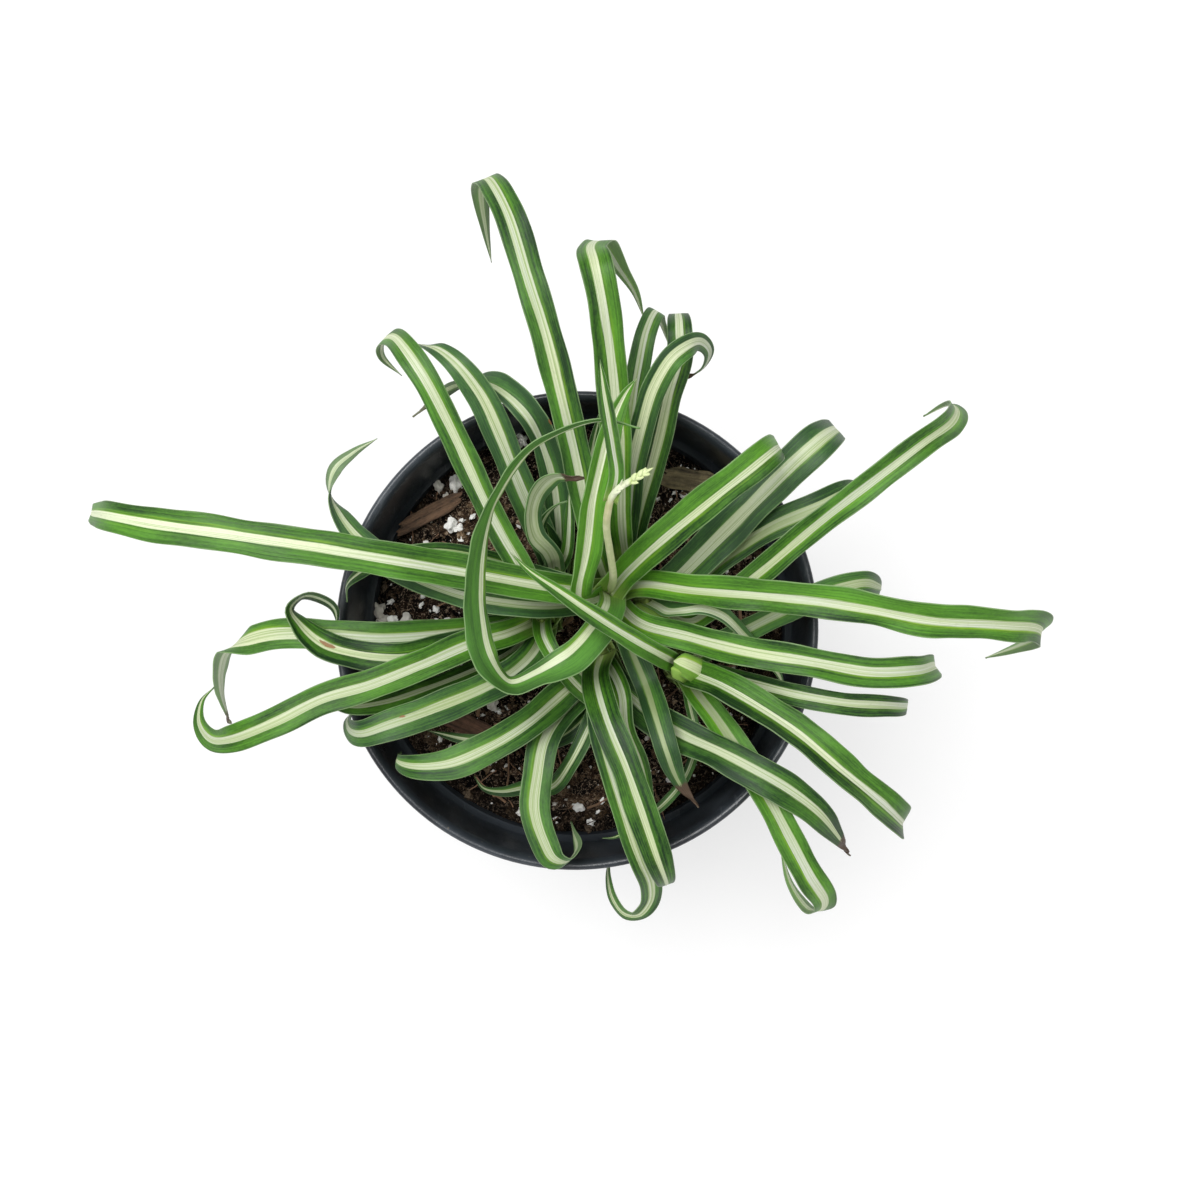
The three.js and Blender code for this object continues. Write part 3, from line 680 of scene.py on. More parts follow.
# each leaf: name, tuft, core, height of the foot, width, its look, points of the midrib
# (x, y, z, roll) and, where they aren't the usual ones, its wave, fold and taper
# a look: share of the width that is cream, brightness of the green (0 deep, 1 lime),
# greyness, greyer where old and partly a painted sheen, dry share at the tip, how far the stripe
# lies off the middle, dullness of the cream, where old and as painted shade on low leaves (below 0:
# brighter, a painted highlight), and how much brighter the right-hand side is, seen from the foot,
# as painted light on that half and painted shade on the other; a pair is the value at the foot and at the
# tip
leafRows = [
    ("west_curl", "centre", 0, 120, 8.4, (0.34, 0.20, 0.45, 0, 0), [
        (-2, 8.2, 140), (-17, 8.2, 156), (-38, 12, 158), (-54, 19, 158), (-66, 28, 157),
        (-73, 36, 153, 40), (-76, 42, 151, 90), (-75, 50, 149, 165), (-69, 55, 151, 180),
        (-61, 59, 155, 180)]),
    ("west_small", "centre", 0, 122.5, 6.3, (0.24, 0.10, 0.10, 0, 0.15), [
        (-4, 14.9, 147.6), (-18, 19.2, 141.5), (-33, 23, 154), (-46, 24, 160), (-58, 22, 162),
        (-65, 18, 160), (-70, 14, 155, 30), (-71, 9, 150, 50)]),
    ("e_two", "centre", 0, 127, 9, (0.38, 0.50, 0.05, 0, -0.05), [
        (20, 2, 144, 15), (35, -2, 153, 20), (52, -6, 163, 20), (70, -9, 168, 20), (88, -12, 168, 20),
        (102, -12, 163, 10), (110, -11, 151), (114, -12, 129)], 1, 0.3, 0.75),
    ("s_stripe", "south", 0, 126, 6.5, (0.46, 0.40, 0, 0, 0, 0.15), [
        (11, -13, 142), (14, -20, 151), (15, -29, 153), (19, -40, 151), (22, -51, 145), (25, -58, 138)]),
    ("s_brown", "centre", 0, 126, 8, (0.26, 0.12, 0.30, 0.12, 0.1, 0.9), [
        (17, -5, 140), (22, -17, 141), (25, -27, 151), (28, -37, 154), (32, -47, 147), (38, -55, 144)]),
    ("west_long", "centre", 0, 132, 10.5, (0.30, (0.45, 0.60), 0.05, 0, 0, (-0.1, -0.7), -0.1), [
        (-2, 12.6, 153.3), (-23, 16, 166), (-45, 20, 176), (-71, 24, 182), (-97, 28, 183),
        (-119, 31, 181), (-136, 34, 174), (-147, 36, 157), (-157, 38, 125)], 0.7),
    ("n_long", "centre", 0, 127, 8.8, (0.34, 0.34, 0.1, 0, -0.05, 0, -0.1), [
        (6, 25, 155), (3, 38, 168), (0, 53, 179), (-4, 69, 189), (-8, 85, 196), (-13, 101, 199),
        (-18, 117, 198), (-24, 129, 189), (-28, 131, 171), (-28, 124, 153), (-27, 116, 141)], 0.7),
    ("ne_near", "centre", 0, 141, 9.8, (0.26, 0.55, 0, 0, 0.1, 0, -0.15), [
        (16, 19, 156), (24, 26.7, 171), (36, 36.5, 181), (47.3, 45.4, 186), (55.5, 52, 184),
        (59.5, 55, 173), (60.5, 56, 152)], 0.6),
    ("e_long", "centre", 0, 131, 10, (0.28, 0.60, 0, 0, 0.1, 0, -0.15), [
        (21, 15, 150), (37, 13, 166), (60, 11, 178), (82, 8, 183), (105, 4, 183), (124, 3, 177),
        (138, 2, 165), (143, -1, 149), (139.5, -5, 137), (131, -9, 131)], 1.1, 0.3, 0.78),
    ("loop", "centre", 0, 134, 10, ((0.26, 0.2), 0.62, 0.35, 0, (0.45, 0.62), -0.3), [
        (10.5, 6.8, 155, -20), (6.3, 0, 167, -35), (-1, -8, 174, -30), (-10, -13, 176, 10),
        (-19, -16, 177, 10), (-26, -8, 182, -30), (-28.6, 6, 189, -36), (-27.6, 21, 196, -28),
        (-23, 36, 204, -24), (-14, 49, 210, -28), (-4, 55, 213, -34), (7, 58, 215, -40),
        (18, 56, 212, -40)], 0.4, None, 0.4),
    ("n_near", "centre", 0, 133, 8, (0.34, 0.82, 0, 0, -0.05, -0.6), [
        (4.2, 9.8, 151, -30), (0.8, 10, 160, -60), (1, 14.5, 166, -80), (2.8, 22, 172, -88),
        (4.2, 30, 180, -90), (5.3, 38.5, 188, -90), (7.7, 49, 194, -90), (10.2, 58.4, 196, -90),
        (13.9, 66.7, 196, -90), (17.3, 72, 193, -90)], 0.4, 0.42, 0.7),
    ("n_small", "centre", 0, 128, 4, (0.3, 0.2, 0.2, 0, 0), [
        (6, 26, 147), (4, 43, 155), (5, 56, 162), (8, 68, 168)], 0.2),
    ("n_fold", "centre", 1, 127, 9.3, (0.32, 0.52, 0, 0, (0.35, -0.1), 0, 0.12), [
        (12.4, 33, 154), (11.9, 48, 166), (11.2, 64, 177), (10, 80, 187), (8, 94, 195), (6, 104, 196),
        (5, 110, 189), (8, 114, 177), (13, 110, 163), (18, 104, 154), (21, 97, 147)], 0.9),
    ("n_four", "centre", 1, 120, 7, (0.34, 0.30, 0.35, 0, 0), [
        (15, 35, 138), (16, 53, 148), (17, 68, 157), (19, 80, 163), (21, 90, 164), (24, 97, 159),
        (26, 96, 150), (29, 91, 137)]),
    ("n_two", "centre", 1, 124, 8.5, (0.38, 0.15, 0.10, 0, 0), [
        (18, 32, 139), (21, 44, 147), (25, 59, 155), (28, 72, 161), (31, 83, 164), (31, 91, 165),
        (31, 96, 159), (32, 98, 139)]),
    ("n_three", "centre", 1, 128, 7.5, (0.46, 0.15, 0.25, 0.03, -0.1), [
        (16, 35, 146), (17, 49, 159), (20, 62, 168), (23, 72, 175), (28, 80, 178), (33, 84, 176, 10),
        (37, 86, 170, 45), (40, 84, 162, 60), (38, 80, 156, 60), (34, 78, 154, 60)]),
    ("nw_long", "west", 0, 129, 8, (0.38, 0.48, 0.15, 0, 0, -0.2), [
        (-14, 13, 148), (-17, 20, 153), (-22, 29, 158), (-29, 43, 167), (-36, 59, 176), (-43, 73, 182),
        (-49, 82, 180), (-54, 87.4, 171), (-59, 87.6, 159), (-60, 84.5, 149), (-55, 80, 143)]),
    ("w_drop", "west", 0, 122, 9.5, ((0.32, 0.5), (0.35, 0.7), 0.1, 0.05, 0), [
        (-25, 1, 136), (-43, -1, 144), (-61, -2, 149), (-76, -1, 150), (-92, -1, 149),
        (-102, -3, 145, 15), (-110, -6, 139, 75), (-115, -13, 129, 60), (-118, -23, 114, 40),
        (-118, -32, 104, 30)]),
    ("w_ring", "west", 0, 125, 9.3, (0.30, 0.15, 0, 0, 0), [
        (-24, -1, 141), (-39, -5, 149), (-54, -8, 155), (-67, -7, 157), (-77, -4, 159, 15),
        (-84, 2, 159, 50), (-87, 7, 159, 70), (-83, 11, 158, 75), (-78, 10, 154, 75), (-75, 7, 149, 75),
        (-75, 2, 144, 75)]),
    ("wsw_long", "west", 0, 128, 9.3, (0.36, 0.50, 0, 0, 0, 0.15), [
        (-22, -1, 147), (-33, -4, 155), (-47, -10, 161), (-62, -16, 165), (-76, -20, 167),
        (-90, -27, 167), (-103, -32, 163), (-112, -33, 154, 30), (-118, -28, 145, 60),
        (-118, -22, 141, 60), (-115, -18, 138, 60)]),
    ("wsw_low", "west", 0, 119, 6.5, (0.28, 0.30, 0, 0, 0.1, 0.3), [
        (-20, -6, 130), (-31, -12, 138), (-46, -18, 147), (-59, -22, 154), (-68, -23, 158),
        (-73, -22, 156), (-75, -23, 144)]),
    ("sw_wide", "west", 0, 124, 10, (0.32, 0.25, 0.25, 0, 0.05, 0.4), [
        (-13, -6, 137, -20), (-20, -13, 145, -35), (-31, -19, 152, -35), (-44, -24, 158, -35),
        (-56, -28, 161, -35), (-65, -31, 159, -30), (-70, -30, 152, -20), (-71, -27, 147),
        (-69, -25, 144), (-65, -24, 144)]),
    ("s_tuck", "west", 0, 131, 6, (0.32, 0.50, 0, 0, 0), [
        (-10, -3, 145), (-5, -11, 147), (1, -18, 143), (8, -24, 140), (15, -31, 134)], 0.3),
    ("s_long", "south", 0, 136, 9.3, (0.24, 0.22, 0, 0, 0, 0.2), [
        (6, -15, 157, 15), (9, -26, 168, 25), (15, -40, 172, 25), (20, -54, 172, 25), (24, -66, 169, 25),
        (27, -75, 160, 25), (28, -80, 141, 25)]),
    ("sw_near", "south", 0, 128, 10, (0.30, 0.35, 0.15, 0, 0, 0.2), [
        (0, -16, 138), (-7, -22, 143), (-16, -29, 152), (-26, -35, 157), (-38, -40, 159), (-49, -41, 158),
        (-55, -40, 152), (-55, -38, 144)]),
    ("s_hook", "south", 0, 123, 9.3, (0.38, 0.35, 0.2, 0, 0, 0.3), [
        (2, -19, 135), (-5, -26, 141), (-10, -34, 147), (-12, -44, 150), (-13, -55, 152), (-10, -65, 152),
        (-7, -70, 151, 20), (-3, -71, 150, 60), (0, -68, 147, 60), (-1, -64, 140, 40),
        (-2, -61, 134, 20)]),
    ("s_loop", "south", 0, 131, 7.5, (0.38, 0.35, 0.15, 0, 0), [
        (6, -19, 156), (8, -33, 157), (12, -47, 158), (16, -59, 156), (20, -71, 151), (23, -79, 143),
        (23, -87, 133, 10), (19.5, -92, 128, 25), (15, -92, 125, 55), (11.5, -88, 121, 75),
        (10, -82, 115, 90), (10.5, -76, 108, 100)]),
    ("s_diag", "south", 0, 118, 5.5, (0.32, 0.10, 0.2, 0, 0), [
        (8, -19, 131), (4, -30, 137), (-2, -42, 138), (-8, -50, 133), (-16, -51, 126, 20),
        (-25, -53, 122, 30), (-31, -52, 121, 40), (-34, -48, 121, 50)]),
    ("s_broad", "south", 0, 120, 6.5, (0.10, 0, 0.1, 0, 0, 0.5), [
        (6, -19, 128), (3, -27, 133), (-2, -32, 135), (-8, -36, 132), (-13, -40, 127)]),
    ("sw_tuck", "south", 0, 119, 5, (0.35, 0.20, 0.1, 0, 0), [
        (1, -19, 126), (-10, -29, 131), (-21, -35, 135), (-34, -35, 135), (-48, -32, 134)], 0.2),
    ("se_wide", "south", 0, 123, 11, (0.28, 0.15, 0.1, 0.09, -0.1, 0.25), [
        (14, -19, 137), (23, -27, 141), (33, -33, 147), (45, -38, 153), (60, -46, 157), (73, -55, 154),
        (82, -65, 141), (87, -72, 132)], 0.8),
    ("cross", "east", 0, 133, 6.4, (0.36, 0.62, 0.05, 0, 0.1, -0.3), [
        (25, -7, 160), (15, -1, 172), (4, 6, 182), (-6, 13, 189), (-13, 18, 193),
        (-18, 23, 195)], 0.5, 0.42, 0.4),
    ("se_long", "east", 0, 130, 10.5, (0.26, 0.32, 0, 0, 0, 0, -0.25), [
        (36.5, -13.5, 148), (44, -16.5, 159, -20), (54, -22, 165, -25), (66, -30, 170, -25),
        (79, -41, 171, -25), (91, -51, 165, -25), (99, -58, 154, -25),
        (104, -62, 131, -25)], 0.5, 0.35, 0.78),
    ("se_low", "east", 0, 124, 9, (0.36, 0.55, 0, 0, 0, (0.8, 0)), [
        (38, -20, 139), (44, -28, 145), (50, -37, 150), (58, -50, 153), (65, -63, 154), (72, -76, 150),
        (78, -85, 140), (78, -90, 130, 20), (75, -91, 122, 30), (70, -84, 117, 30), (67, -73, 115, 30)]),
    ("e_short", "east", 0, 121, 7, (0.40, 0.25, 0.05, 0, -0.1), [
        (45, -14, 137), (56, -17, 145), (69, -20, 153), (82, -22, 155), (94, -23, 151), (103, -24, 141),
        (107, -24, 120)]),
    ("s_arc", "east", 0, 118, 3.2, (0.35, 0.30, 0.2, 0, 0), [
        (36, -23, 126), (38, -35, 130), (35, -46, 132), (29, -54, 134), (20, -61, 137), (12, -65, 141),
        (8, -65, 143)], 0.15),
    ("e_back", "east", 0, 127, 8, (0.40, 0.30, 0.30, 0, 0, 0.4), [
        (39, -7, 139), (50, -1, 146), (63, 6, 152), (76, 12, 156), (87, 15, 155), (94, 14, 144),
        (98, 13, 127)]),
    ("ne_mid", "centre", 2, 128, 12, (0.36, 0.15, 0.40, 0, 0), [
        (32, 17, 144), (43, 28, 151), (55, 40, 155), (67, 52, 155), (75, 59, 154), (81, 63, 143),
        (83, 63, 123)], 0.8),
    ("ne_low", "centre", 2, 124, 9, (0.40, 0.15, 0.20, 0, 0.1, 0.55), [
        (35, 15, 138), (48, 25, 145), (61, 33, 151), (75, 39, 154), (85, 44, 148), (91, 46, 131)]),
    ("ne_long", "centre", 2, 131, 7.8, (0.34, 0.50, 0.05, 0, 0, 0.25), [
        (35, 3, 146, 20), (44, 9, 154, 45), (55, 18, 165, 48), (70, 31, 175, 48), (85, 43, 182, 48),
        (100, 54.5, 184, 48), (109.6, 61.2, 175, 48), (115, 67.5, 159, 30), (114.5, 70, 147),
        (109, 67.5, 141)], 0.5, 0.4, 0.75),
    ("e_curl", "centre", 2, 129, 5.2, (0.55, 0.40, 0.60, 0, 0.25), [
        (26, 8, 142), (29, 6.4, 152), (33, 6.8, 158), (38, 7.4, 160), (44.3, 5.4, 160), (51.3, -1, 154),
        (57.4, -7.1, 149), (62.8, -13.5, 147), (65.3, -21, 144)], 0.2),
    ("nw_mid", "north_west", 0, 120, 9, (0.38, 0.22, 0.50, 0, 0), [
        (-10, 27, 141), (-14, 37, 151), (-18, 47, 160), (-23, 59, 168), (-28, 70, 174), (-34, 78, 177),
        (-40, 83, 174, 15), (-45, 85, 169, 55), (-50, 87, 163, 80)]),
    ("nw_high", "north_west", 0, 122, 8.6, (0.26, 0.10, 0.50, 0.07, (-0.2, -0.4)), [
        (-5, 30, 138), (-6, 45, 148), (-9, 57, 159), (-13, 65.5, 168), (-20, 72, 167, 25),
        (-28, 75.5, 162, 70), (-37, 74.5, 155, 115), (-43, 72, 150, 150),
        (-51, 67, 145, 160)], 0.5, 0.5, 0.45),
    ("mid_curl", "north_west", 0, 131, 6.2, (0.80, 0.35, 0.70, 0.09, -0.15, 0.2), [
        (-8, 25, 154), (-12.2, 29.5, 162, 25), (-13.2, 35.2, 169, 35), (-11.7, 40.1, 175, 20),
        (-8.6, 43.6, 182), (-5.5, 45.1, 187, -5), (-3, 44.9, 189, -20), (-0.2, 44.2, 190.5, -30),
        (2.6, 44.5, 190, -30)], 0.15, 0.3, 0.76),
    ("mid_thin", "north_west", 0, 135, 3.2, (0.40, 0.30, 0.4, 0, 0), [
        (-10, 25, 147), (-11, 31, 156), (-8.5, 36, 163), (-5, 38.4, 167), (-2.5, 39, 168)], 0.1),
    ("mid_dark", "north_west", 0, 129, 7, (0.02, 0.0, 0.1, 0, 0), [
        (-7, 25, 143), (-8.5, 29, 149), (-9.5, 34, 155)], 0.2),
    ("mid_pale", "north_west", 0, 131, 4, (0.40, 0.40, 0.1, 0, 0), [
        (-3, 25, 148), (-2, 33, 158), (-2, 43, 163)], 0.15),
]


def walkRoute(places, step):
    # a smooth curve through the places in mm, in even steps, with the blade's directions on it
    poles = np.array([place[:3] for place in places], float)
    rolls = np.radians([place[3] if len(place) > 3 else 0 for place in places])
    chain = np.vstack([2 * poles[:1] - poles[1:2], poles, 2 * poles[-1:] - poles[-2:-1]])
    t = np.linspace(0, 1, bladeLook["samples"], endpoint=False)[:, None]
    curve, turns = [], []
    for i in range(len(poles) - 1):
        a, b, c, d = chain[i:i + 4]
        before, here, after = (np.sum((q - p) ** 2) ** 0.25 for p, q in ((a, b), (b, c), (c, d)))
        leave = here * ((b - a) / before - (c - a) / (before + here) + (c - b) / here)
        reach = here * ((c - b) / here - (d - b) / (here + after) + (d - c) / after)
        curve.append(b + leave * t + (3 * (c - b) - 2 * leave - reach) * t ** 2
                     + (2 * (b - c) + leave + reach) * t ** 3)
        turns.append(rolls[i] + (rolls[i + 1] - rolls[i]) * t[:, 0])
    curve = np.vstack(curve + [poles[-1:]])
    turns = np.append(np.concatenate(turns), rolls[-1])
    reached = np.append(0, np.cumsum(np.linalg.norm(np.diff(curve, axis=0), axis=1)))
    at = np.linspace(0, reached[-1], int(math.ceil(reached[-1] / step)) + 1)
    point = np.column_stack([np.interp(at, reached, curve[:, k]) for k in range(3)])
    roll = np.interp(at, reached, turns)[:, None]
    along = np.gradient(point, axis=0)
    along /= np.linalg.norm(along, axis=1)[:, None]
    side = np.cross(along[0], (0, 0, 1))
    sides = []
    for direction in along:
        side = side - direction * np.dot(side, direction)
        side = side / np.linalg.norm(side)
        sides.append(side)
    sides = np.array(sides)
    across = sides * np.cos(roll) + np.cross(along, sides) * np.sin(roll)
    return {"at": at, "point": point, "along": along, "across": across,
            "out": np.cross(across, along)}


def widthShare(v, taper):
    rise = 0.78 + 0.22 * smoothStep(v / 0.3)
    fall = 1 - np.clip((v - taper) / (1 - taper), 0, 1) ** 2.2
    return np.maximum(bladeLook["tipShare"], rise * fall)


def markOn(place, at, aside, marks):
    # how strongly each point of the blade is marked, 0 to 1
    strength = np.zeros(len(at))
    for x, y, length, breadth in marks:
        nearest = np.argmin(np.hypot(place[:, 0] - x, place[:, 1] - y))
        off = np.hypot((at - at[nearest]) / length, (aside - aside[nearest]) / breadth)
        strength = np.maximum(strength, np.exp(-off ** 2))
    return strength


def bladeOf(name, walk, width, shape, look, number, marks=(), pale=0.0):
    rows = len(walk["at"]) - 1
    bpy.ops.mesh.primitive_grid_add(x_subdivisions=bladeLook["across"], y_subdivisions=rows,
                                    size=1, calc_uvs=True)
    piece = newest(name)
    flat = numbersOf(piece)
    s, v = flat[:, 0] * 2, flat[:, 1] + 0.5
    row = np.rint(v * rows).astype(int)
    at = walk["at"][row]
    foot = 1 - smoothStep(at / bladeLook["footLength"])
    wave, fold, taper = shape
    half = width / 2 * widthShare(v, taper) * (1 + bladeLook["footSpread"] * foot)
    # each edge has its own slow bulges, and a dry tip shrivels
    slow, quick = bladeLook["bulges"]
    bulge = np.sin(at / slow + number * 1.7 + (s > 0) * 2.1) + np.sin(at / quick + number) / 2
    shrivel = smoothStep((v - 1 + look[3]) / max(look[3], 1e-6))
    half = half * (1 + bladeLook["uneven"] * np.sin(np.pi * v) * bulge)
    half = half * (1 - bladeLook["shrink"] * shrivel)
    channel = bladeLook["channel"] * (1 - 0.8 * smoothStep(v * 1.6)) if fold is None else fold
    depth = half * (channel + bladeLook["footFold"] * foot)
    left, right = bladeLook["ripples"]
    ripple = wave * np.sin(np.pi * v) * np.where(s < 0, np.sin(at / left), np.sin(at / right + 2))
    fine = bladeLook["fineWave"] * np.sin(np.pi * v)
    fine = fine * np.sin(at / bladeLook["fineLength"] + number + s)
    lift = depth * np.abs(s) ** 1.2 + ripple * s ** 2 + fine * s ** 4
    crinkle = np.sin(at / bladeLook["crinkleLength"] + s * 2)
    lift = lift + shrivel * bladeLook["crinkle"] * crinkle
    place = (walk["point"][row] + walk["across"][row] * (s * half)[:, None]
             + walk["out"][row] * lift[:, None])
    piece.data.vertices.foreach_set("co", (place * mm).ravel())
    # a map in mm for veins and patches, and a thinner edge
    grain = piece.data.uv_layers.new(name="grain")
    corner = np.empty(len(piece.data.loops), int)
    piece.data.loops.foreach_get("vertex_index", corner)
    flatMap = np.column_stack([s * width / 2, at + number * 300.0])
    grain.data.foreach_set("uv", flatMap[corner].ravel())
    piece.data.uv_layers["UVMap"].active = True
    for key, value in zip(("stripe", "tone", "greySheen", "dry", "shift", "creamAgeAndLight", "lean"), look):
        pointValue(piece, key, np.interp(v, (0.3, 0.6), np.broadcast_to(value, 2)))
    pointValue(piece, "pale", pale)
    pointValue(piece, "mark", markOn(place, at, s * half, marks))
    group = piece.vertex_groups.new(name="middle")
    for share in range(bladeLook["across"] + 1):
        where = share / bladeLook["across"] * 2 - 1
        chosen = np.nonzero(np.abs(s - where) < 1e-3)[0].tolist()
        group.add(chosen, 1 - (1 - bladeLook["edgeShare"]) * abs(where) ** 2, "REPLACE")
    for paint in leafPaints:
        piece.data.materials.append(paint)
    applyModifier(piece, "SOLIDIFY", thickness=bladeLook["thickness"] * mm, offset=0,
                  vertex_group="middle", material_offset=1)
    smooth(piece)
    return piece


def leafPaint(name, underside):
    paint = Paint(name)
    flat = paint.node("ShaderNodeUVMap", {"uv_map": "UVMap"})
    grain = paint.node("ShaderNodeUVMap", {"uv_map": "grain"})
    u, v = paint.axis(flat, 0), paint.axis(flat, 1)
    stripe, tone, greySheen, dry, shift, creamAgeAndLight, lean, pale, mark = (
        paint.attribute(key) for key in
        ("stripe", "tone", "greySheen", "dry", "shift", "creamAgeAndLight", "lean", "pale", "mark"))
    # slow drift along the blade, long streaks, hairlines, patches and mottling
    drift = paint.stretched(grain, (0.0, 0.022, 0), 1) - 0.5
    streak = paint.stretched(grain, (1.5, 0.008, 0), 3, 0.6)
    hair = paint.stretched(grain, (4.6, 0.015, 0), 2)
    patch = paint.stretched(grain, (0.24, 0.04, 0), 3, 0.55)
    mottle = paint.stretched(grain, (1.8, 0.6, 0), 5, 0.65)
    line = paint.stretched(grain, (2.4, 0.004, 0), 1)
    # from -1 at the left edge to 1 at the right, and the distance from the stripe's middle
    side = u * 2 - 1
    edge = abs(side)
    aside = side + drift * 0.26 - shift
    away = abs(aside)
    reach = (stripe * 0.86 + (streak - 0.5) * 0.2 + (patch - 0.5) * 0.12
             + (1 - v / 0.2).held() * 0.06)
    cream = ((reach - away) / 0.045 + 0.5).held()
    glow = ((reach + 0.22 - away) / 0.18).held() * (aside.over(-0.06, 0.06) * 0.75 + 0.25)
    glow = glow * (tone * 1.1 + 0.1).held() * (patch.over(0.38, 0.60) * 0.6 + 0.4)
    # greens: deep at the margins, brighter near the cream, greyer on old leaves and with a painted grey
    # sheen, and one half lighter as painted light, the other darker as painted shade
    young = (1 - v / 0.35).held() * tone * 0.4
    # side * lean: painted light on one half of the blade and painted shade on the other
    bright = (tone + (patch - 0.5) * 1.7 + (streak - 0.5) * 1.1 + (mottle - 0.5) * 0.8
              - edge * 0.35 + 0.18 + young + side * lean).held()
    green = paint.coats(
        (10, 44, 8), (bright, (90, 150, 40)),
        (hair.over(0.50, 0.70) * 0.25, (104, 164, 56)),
        (hair.over(0.48, 0.32) * 0.35, (18, 54, 16)),
        # grey-blue: old leaves' greyness, and a painted sheen for the lower leaves' satin reflection
        (greySheen * (0.4 + patch * 0.6), (86, 124, 84)),
        (glow * (streak.over(0.42, 0.62) * 0.6 + 0.3), (142, 178, 40)),
        (((edge - 0.94) / 0.04).held() * 0.5, (156, 184, 130)))
    # cream with faint green lines, duller where it is old and as painted shade on low leaves, and near
    # white as a painted highlight where the value is below 0
    creamTone = paint.coats(
        (210, 218, 178), ((drift * 3 + 0.5).held(), (204, 210, 194)),
        (streak.over(0.42, 0.66) * 0.8, (172, 188, 136)),
        (line.over(0.56, 0.63) * 0.6, (128, 156, 80)),
        ((1 - edge / 0.035).held() * 0.35, (140, 164, 96)),
        # below 0: a painted highlight, near-white cream
        ((creamAgeAndLight * -1).held(), (234, 242, 206)),
        (hair.over(0.54, 0.66) * 0.6, (136, 164, 88)),
        (mottle.over(0.52, 0.70) * 0.4, (170, 180, 140)),
        # duller cream: old, and painted shade on low leaves
        (creamAgeAndLight * (patch * 0.6 + 0.6), (132, 150, 98)))
    # yellow-green where the blade leaves its tuft, tiny specks, brown marks and a dry tip
    speck = paint.noise(paint.mapped(grain, (1.0, 0.7, 0)), 2.6, 1).over(0.78, 0.83)
    spot = (mark + (mottle - 0.5) * 0.7).over(0.35, 0.6)
    ends = ((v - 1 + dry + (mottle - 0.5) * 0.06) / 0.012).held() * (dry * 1000).held()
    colour = paint.coats(
        green, (cream, creamTone),
        ((1 - v / 0.12).held() * 0.45 + pale * 0.6, (176, 196, 104)),
        (speck * 0.55, (92, 92, 56)), (spot * (mark * 4).held() * 0.85, (140, 88, 54)),
        (ends, paint.mix(hair, (40, 28, 20), (104, 84, 66))))
    if underside:
        colour = paint.mix(0.24, colour, (184, 202, 164))
    return paint.finish(
        Base_Color=colour, Roughness=mottle * 0.16 + hair * 0.10 + 0.34, Specular_IOR_Level=0.3,
        Normal=paint.bump(hair * 0.6 + streak * 0.8 + mottle * 0.3, 0.55, 0.0003))


leafPaints = [leafPaint("leafTop", False), leafPaint("leafUnderside", True)]
for number, (name, crown, core, foot, width, look, route, *own) in enumerate(leafRows):
    shape = (*own, *bladeLook["shape"][len(own):])
    walk = walkRoute([crownPlaces[crown][core] + (foot,)] + route, bladeLook["step"])
    piece = bladeOf("blade_" + name, walk, width, shape, look, number, leafMarks.get(name, ()))
    finishPiece(piece, "leaf", [], "leaf_" + name)
print("leaves done", len(leafRows))


# crowns: short stems wrapped in pale sheaths that clasp each other
crownLook = {
    "sides": 32, "sheaths": 7, "sheathWidth": 10, "sheathShape": (0.15, 0.7, 0.6),
    "sheathLook": (0.35, 0.55, 0.1, 0.02, 0), "sheathStep": 1.2, "pattern": 60,
    # sheaths turn round the core, each lower than the one before; lowest and highest top
    "turn": 2.4, "stray": 0.3, "tops": (126, 139), "drop": 0.8,
    # their foot's radius and height, then radius and how far below the top
    "foot": (1.5, 100), "bends": [(4.2, 16), (5.4, 7), (7.4, 0)], "paleness": 0.5,
    # two pale sheaths that wrap the highest leaf of the east tuft: route, width, look, paleness
    "clasps": {"east": [
        ([(40.6, -14.6, 147), (37.2, -12.5, 152), (33.4, -10.6, 154.4), (29.8, -9.0, 154.8)],
         6.6, (0.42, 0.9, 0, 0, 0.15, -0.1), 0.35),
        ([(36.5, -15.0, 145), (34.2, -13.6, 150.5), (31.4, -12.4, 153.4), (29.0, -11.2, 153.8)],
         4.8, (0, 0.9, 0, 0, 0), 0.6),
    ]},
    "claspShape": (0.5, -0.7, 0.8), "claspStep": 0.8, "claspPattern": 80,
    # radius and height in mm
    "rings": [(5.0, 94), (6.4, 95), (7.0, 97), (6.8, 110), (6.0, 118), (4.8, 125), (3.4, 131),
              (1.8, 135), (0.5, 136)],
}


def makeCrown(look, name, places, draw):
    parts = []
    for x, y in places:
        core = ringsDrawnUp("core", look["rings"], look["sides"])
        core.data.transform(Matrix.Translation((x * mm, y * mm, 0)))
        pointValue(core, "pale", look["paleness"])
        for paint in leafPaints:
            core.data.materials.append(paint)
        parts.append(core)
        for i in range(look["sheaths"]):
            angle = i * look["turn"] + draw.uniform(-look["stray"], look["stray"])
            top = draw.uniform(*look["tops"]) - i * look["drop"]
            reach = [look["foot"]] + [(r, top - below) for r, below in look["bends"]]
            route = [(x + r * math.cos(angle), y + r * math.sin(angle), z) for r, z in reach]
            walk = walkRoute(route, look["sheathStep"])
            parts.append(bladeOf("sheath", walk, look["sheathWidth"], look["sheathShape"],
                                 look["sheathLook"], look["pattern"] + i + int(x), (),
                                 look["paleness"]))
    for route, width, finish, pale in look["clasps"].get(name, ()):
        parts.append(bladeOf("clasp", walkRoute(route, look["claspStep"]), width,
                             look["claspShape"], finish, look["claspPattern"], (), pale))
    piece = joined("crownOf_" + name, parts)
    smooth(piece)
    return finishPiece(piece, "crown", [], "crown_" + name)


for name, places in crownPlaces.items():
    makeCrown(crownLook, name, places, random.Random(name))
print("crowns done")


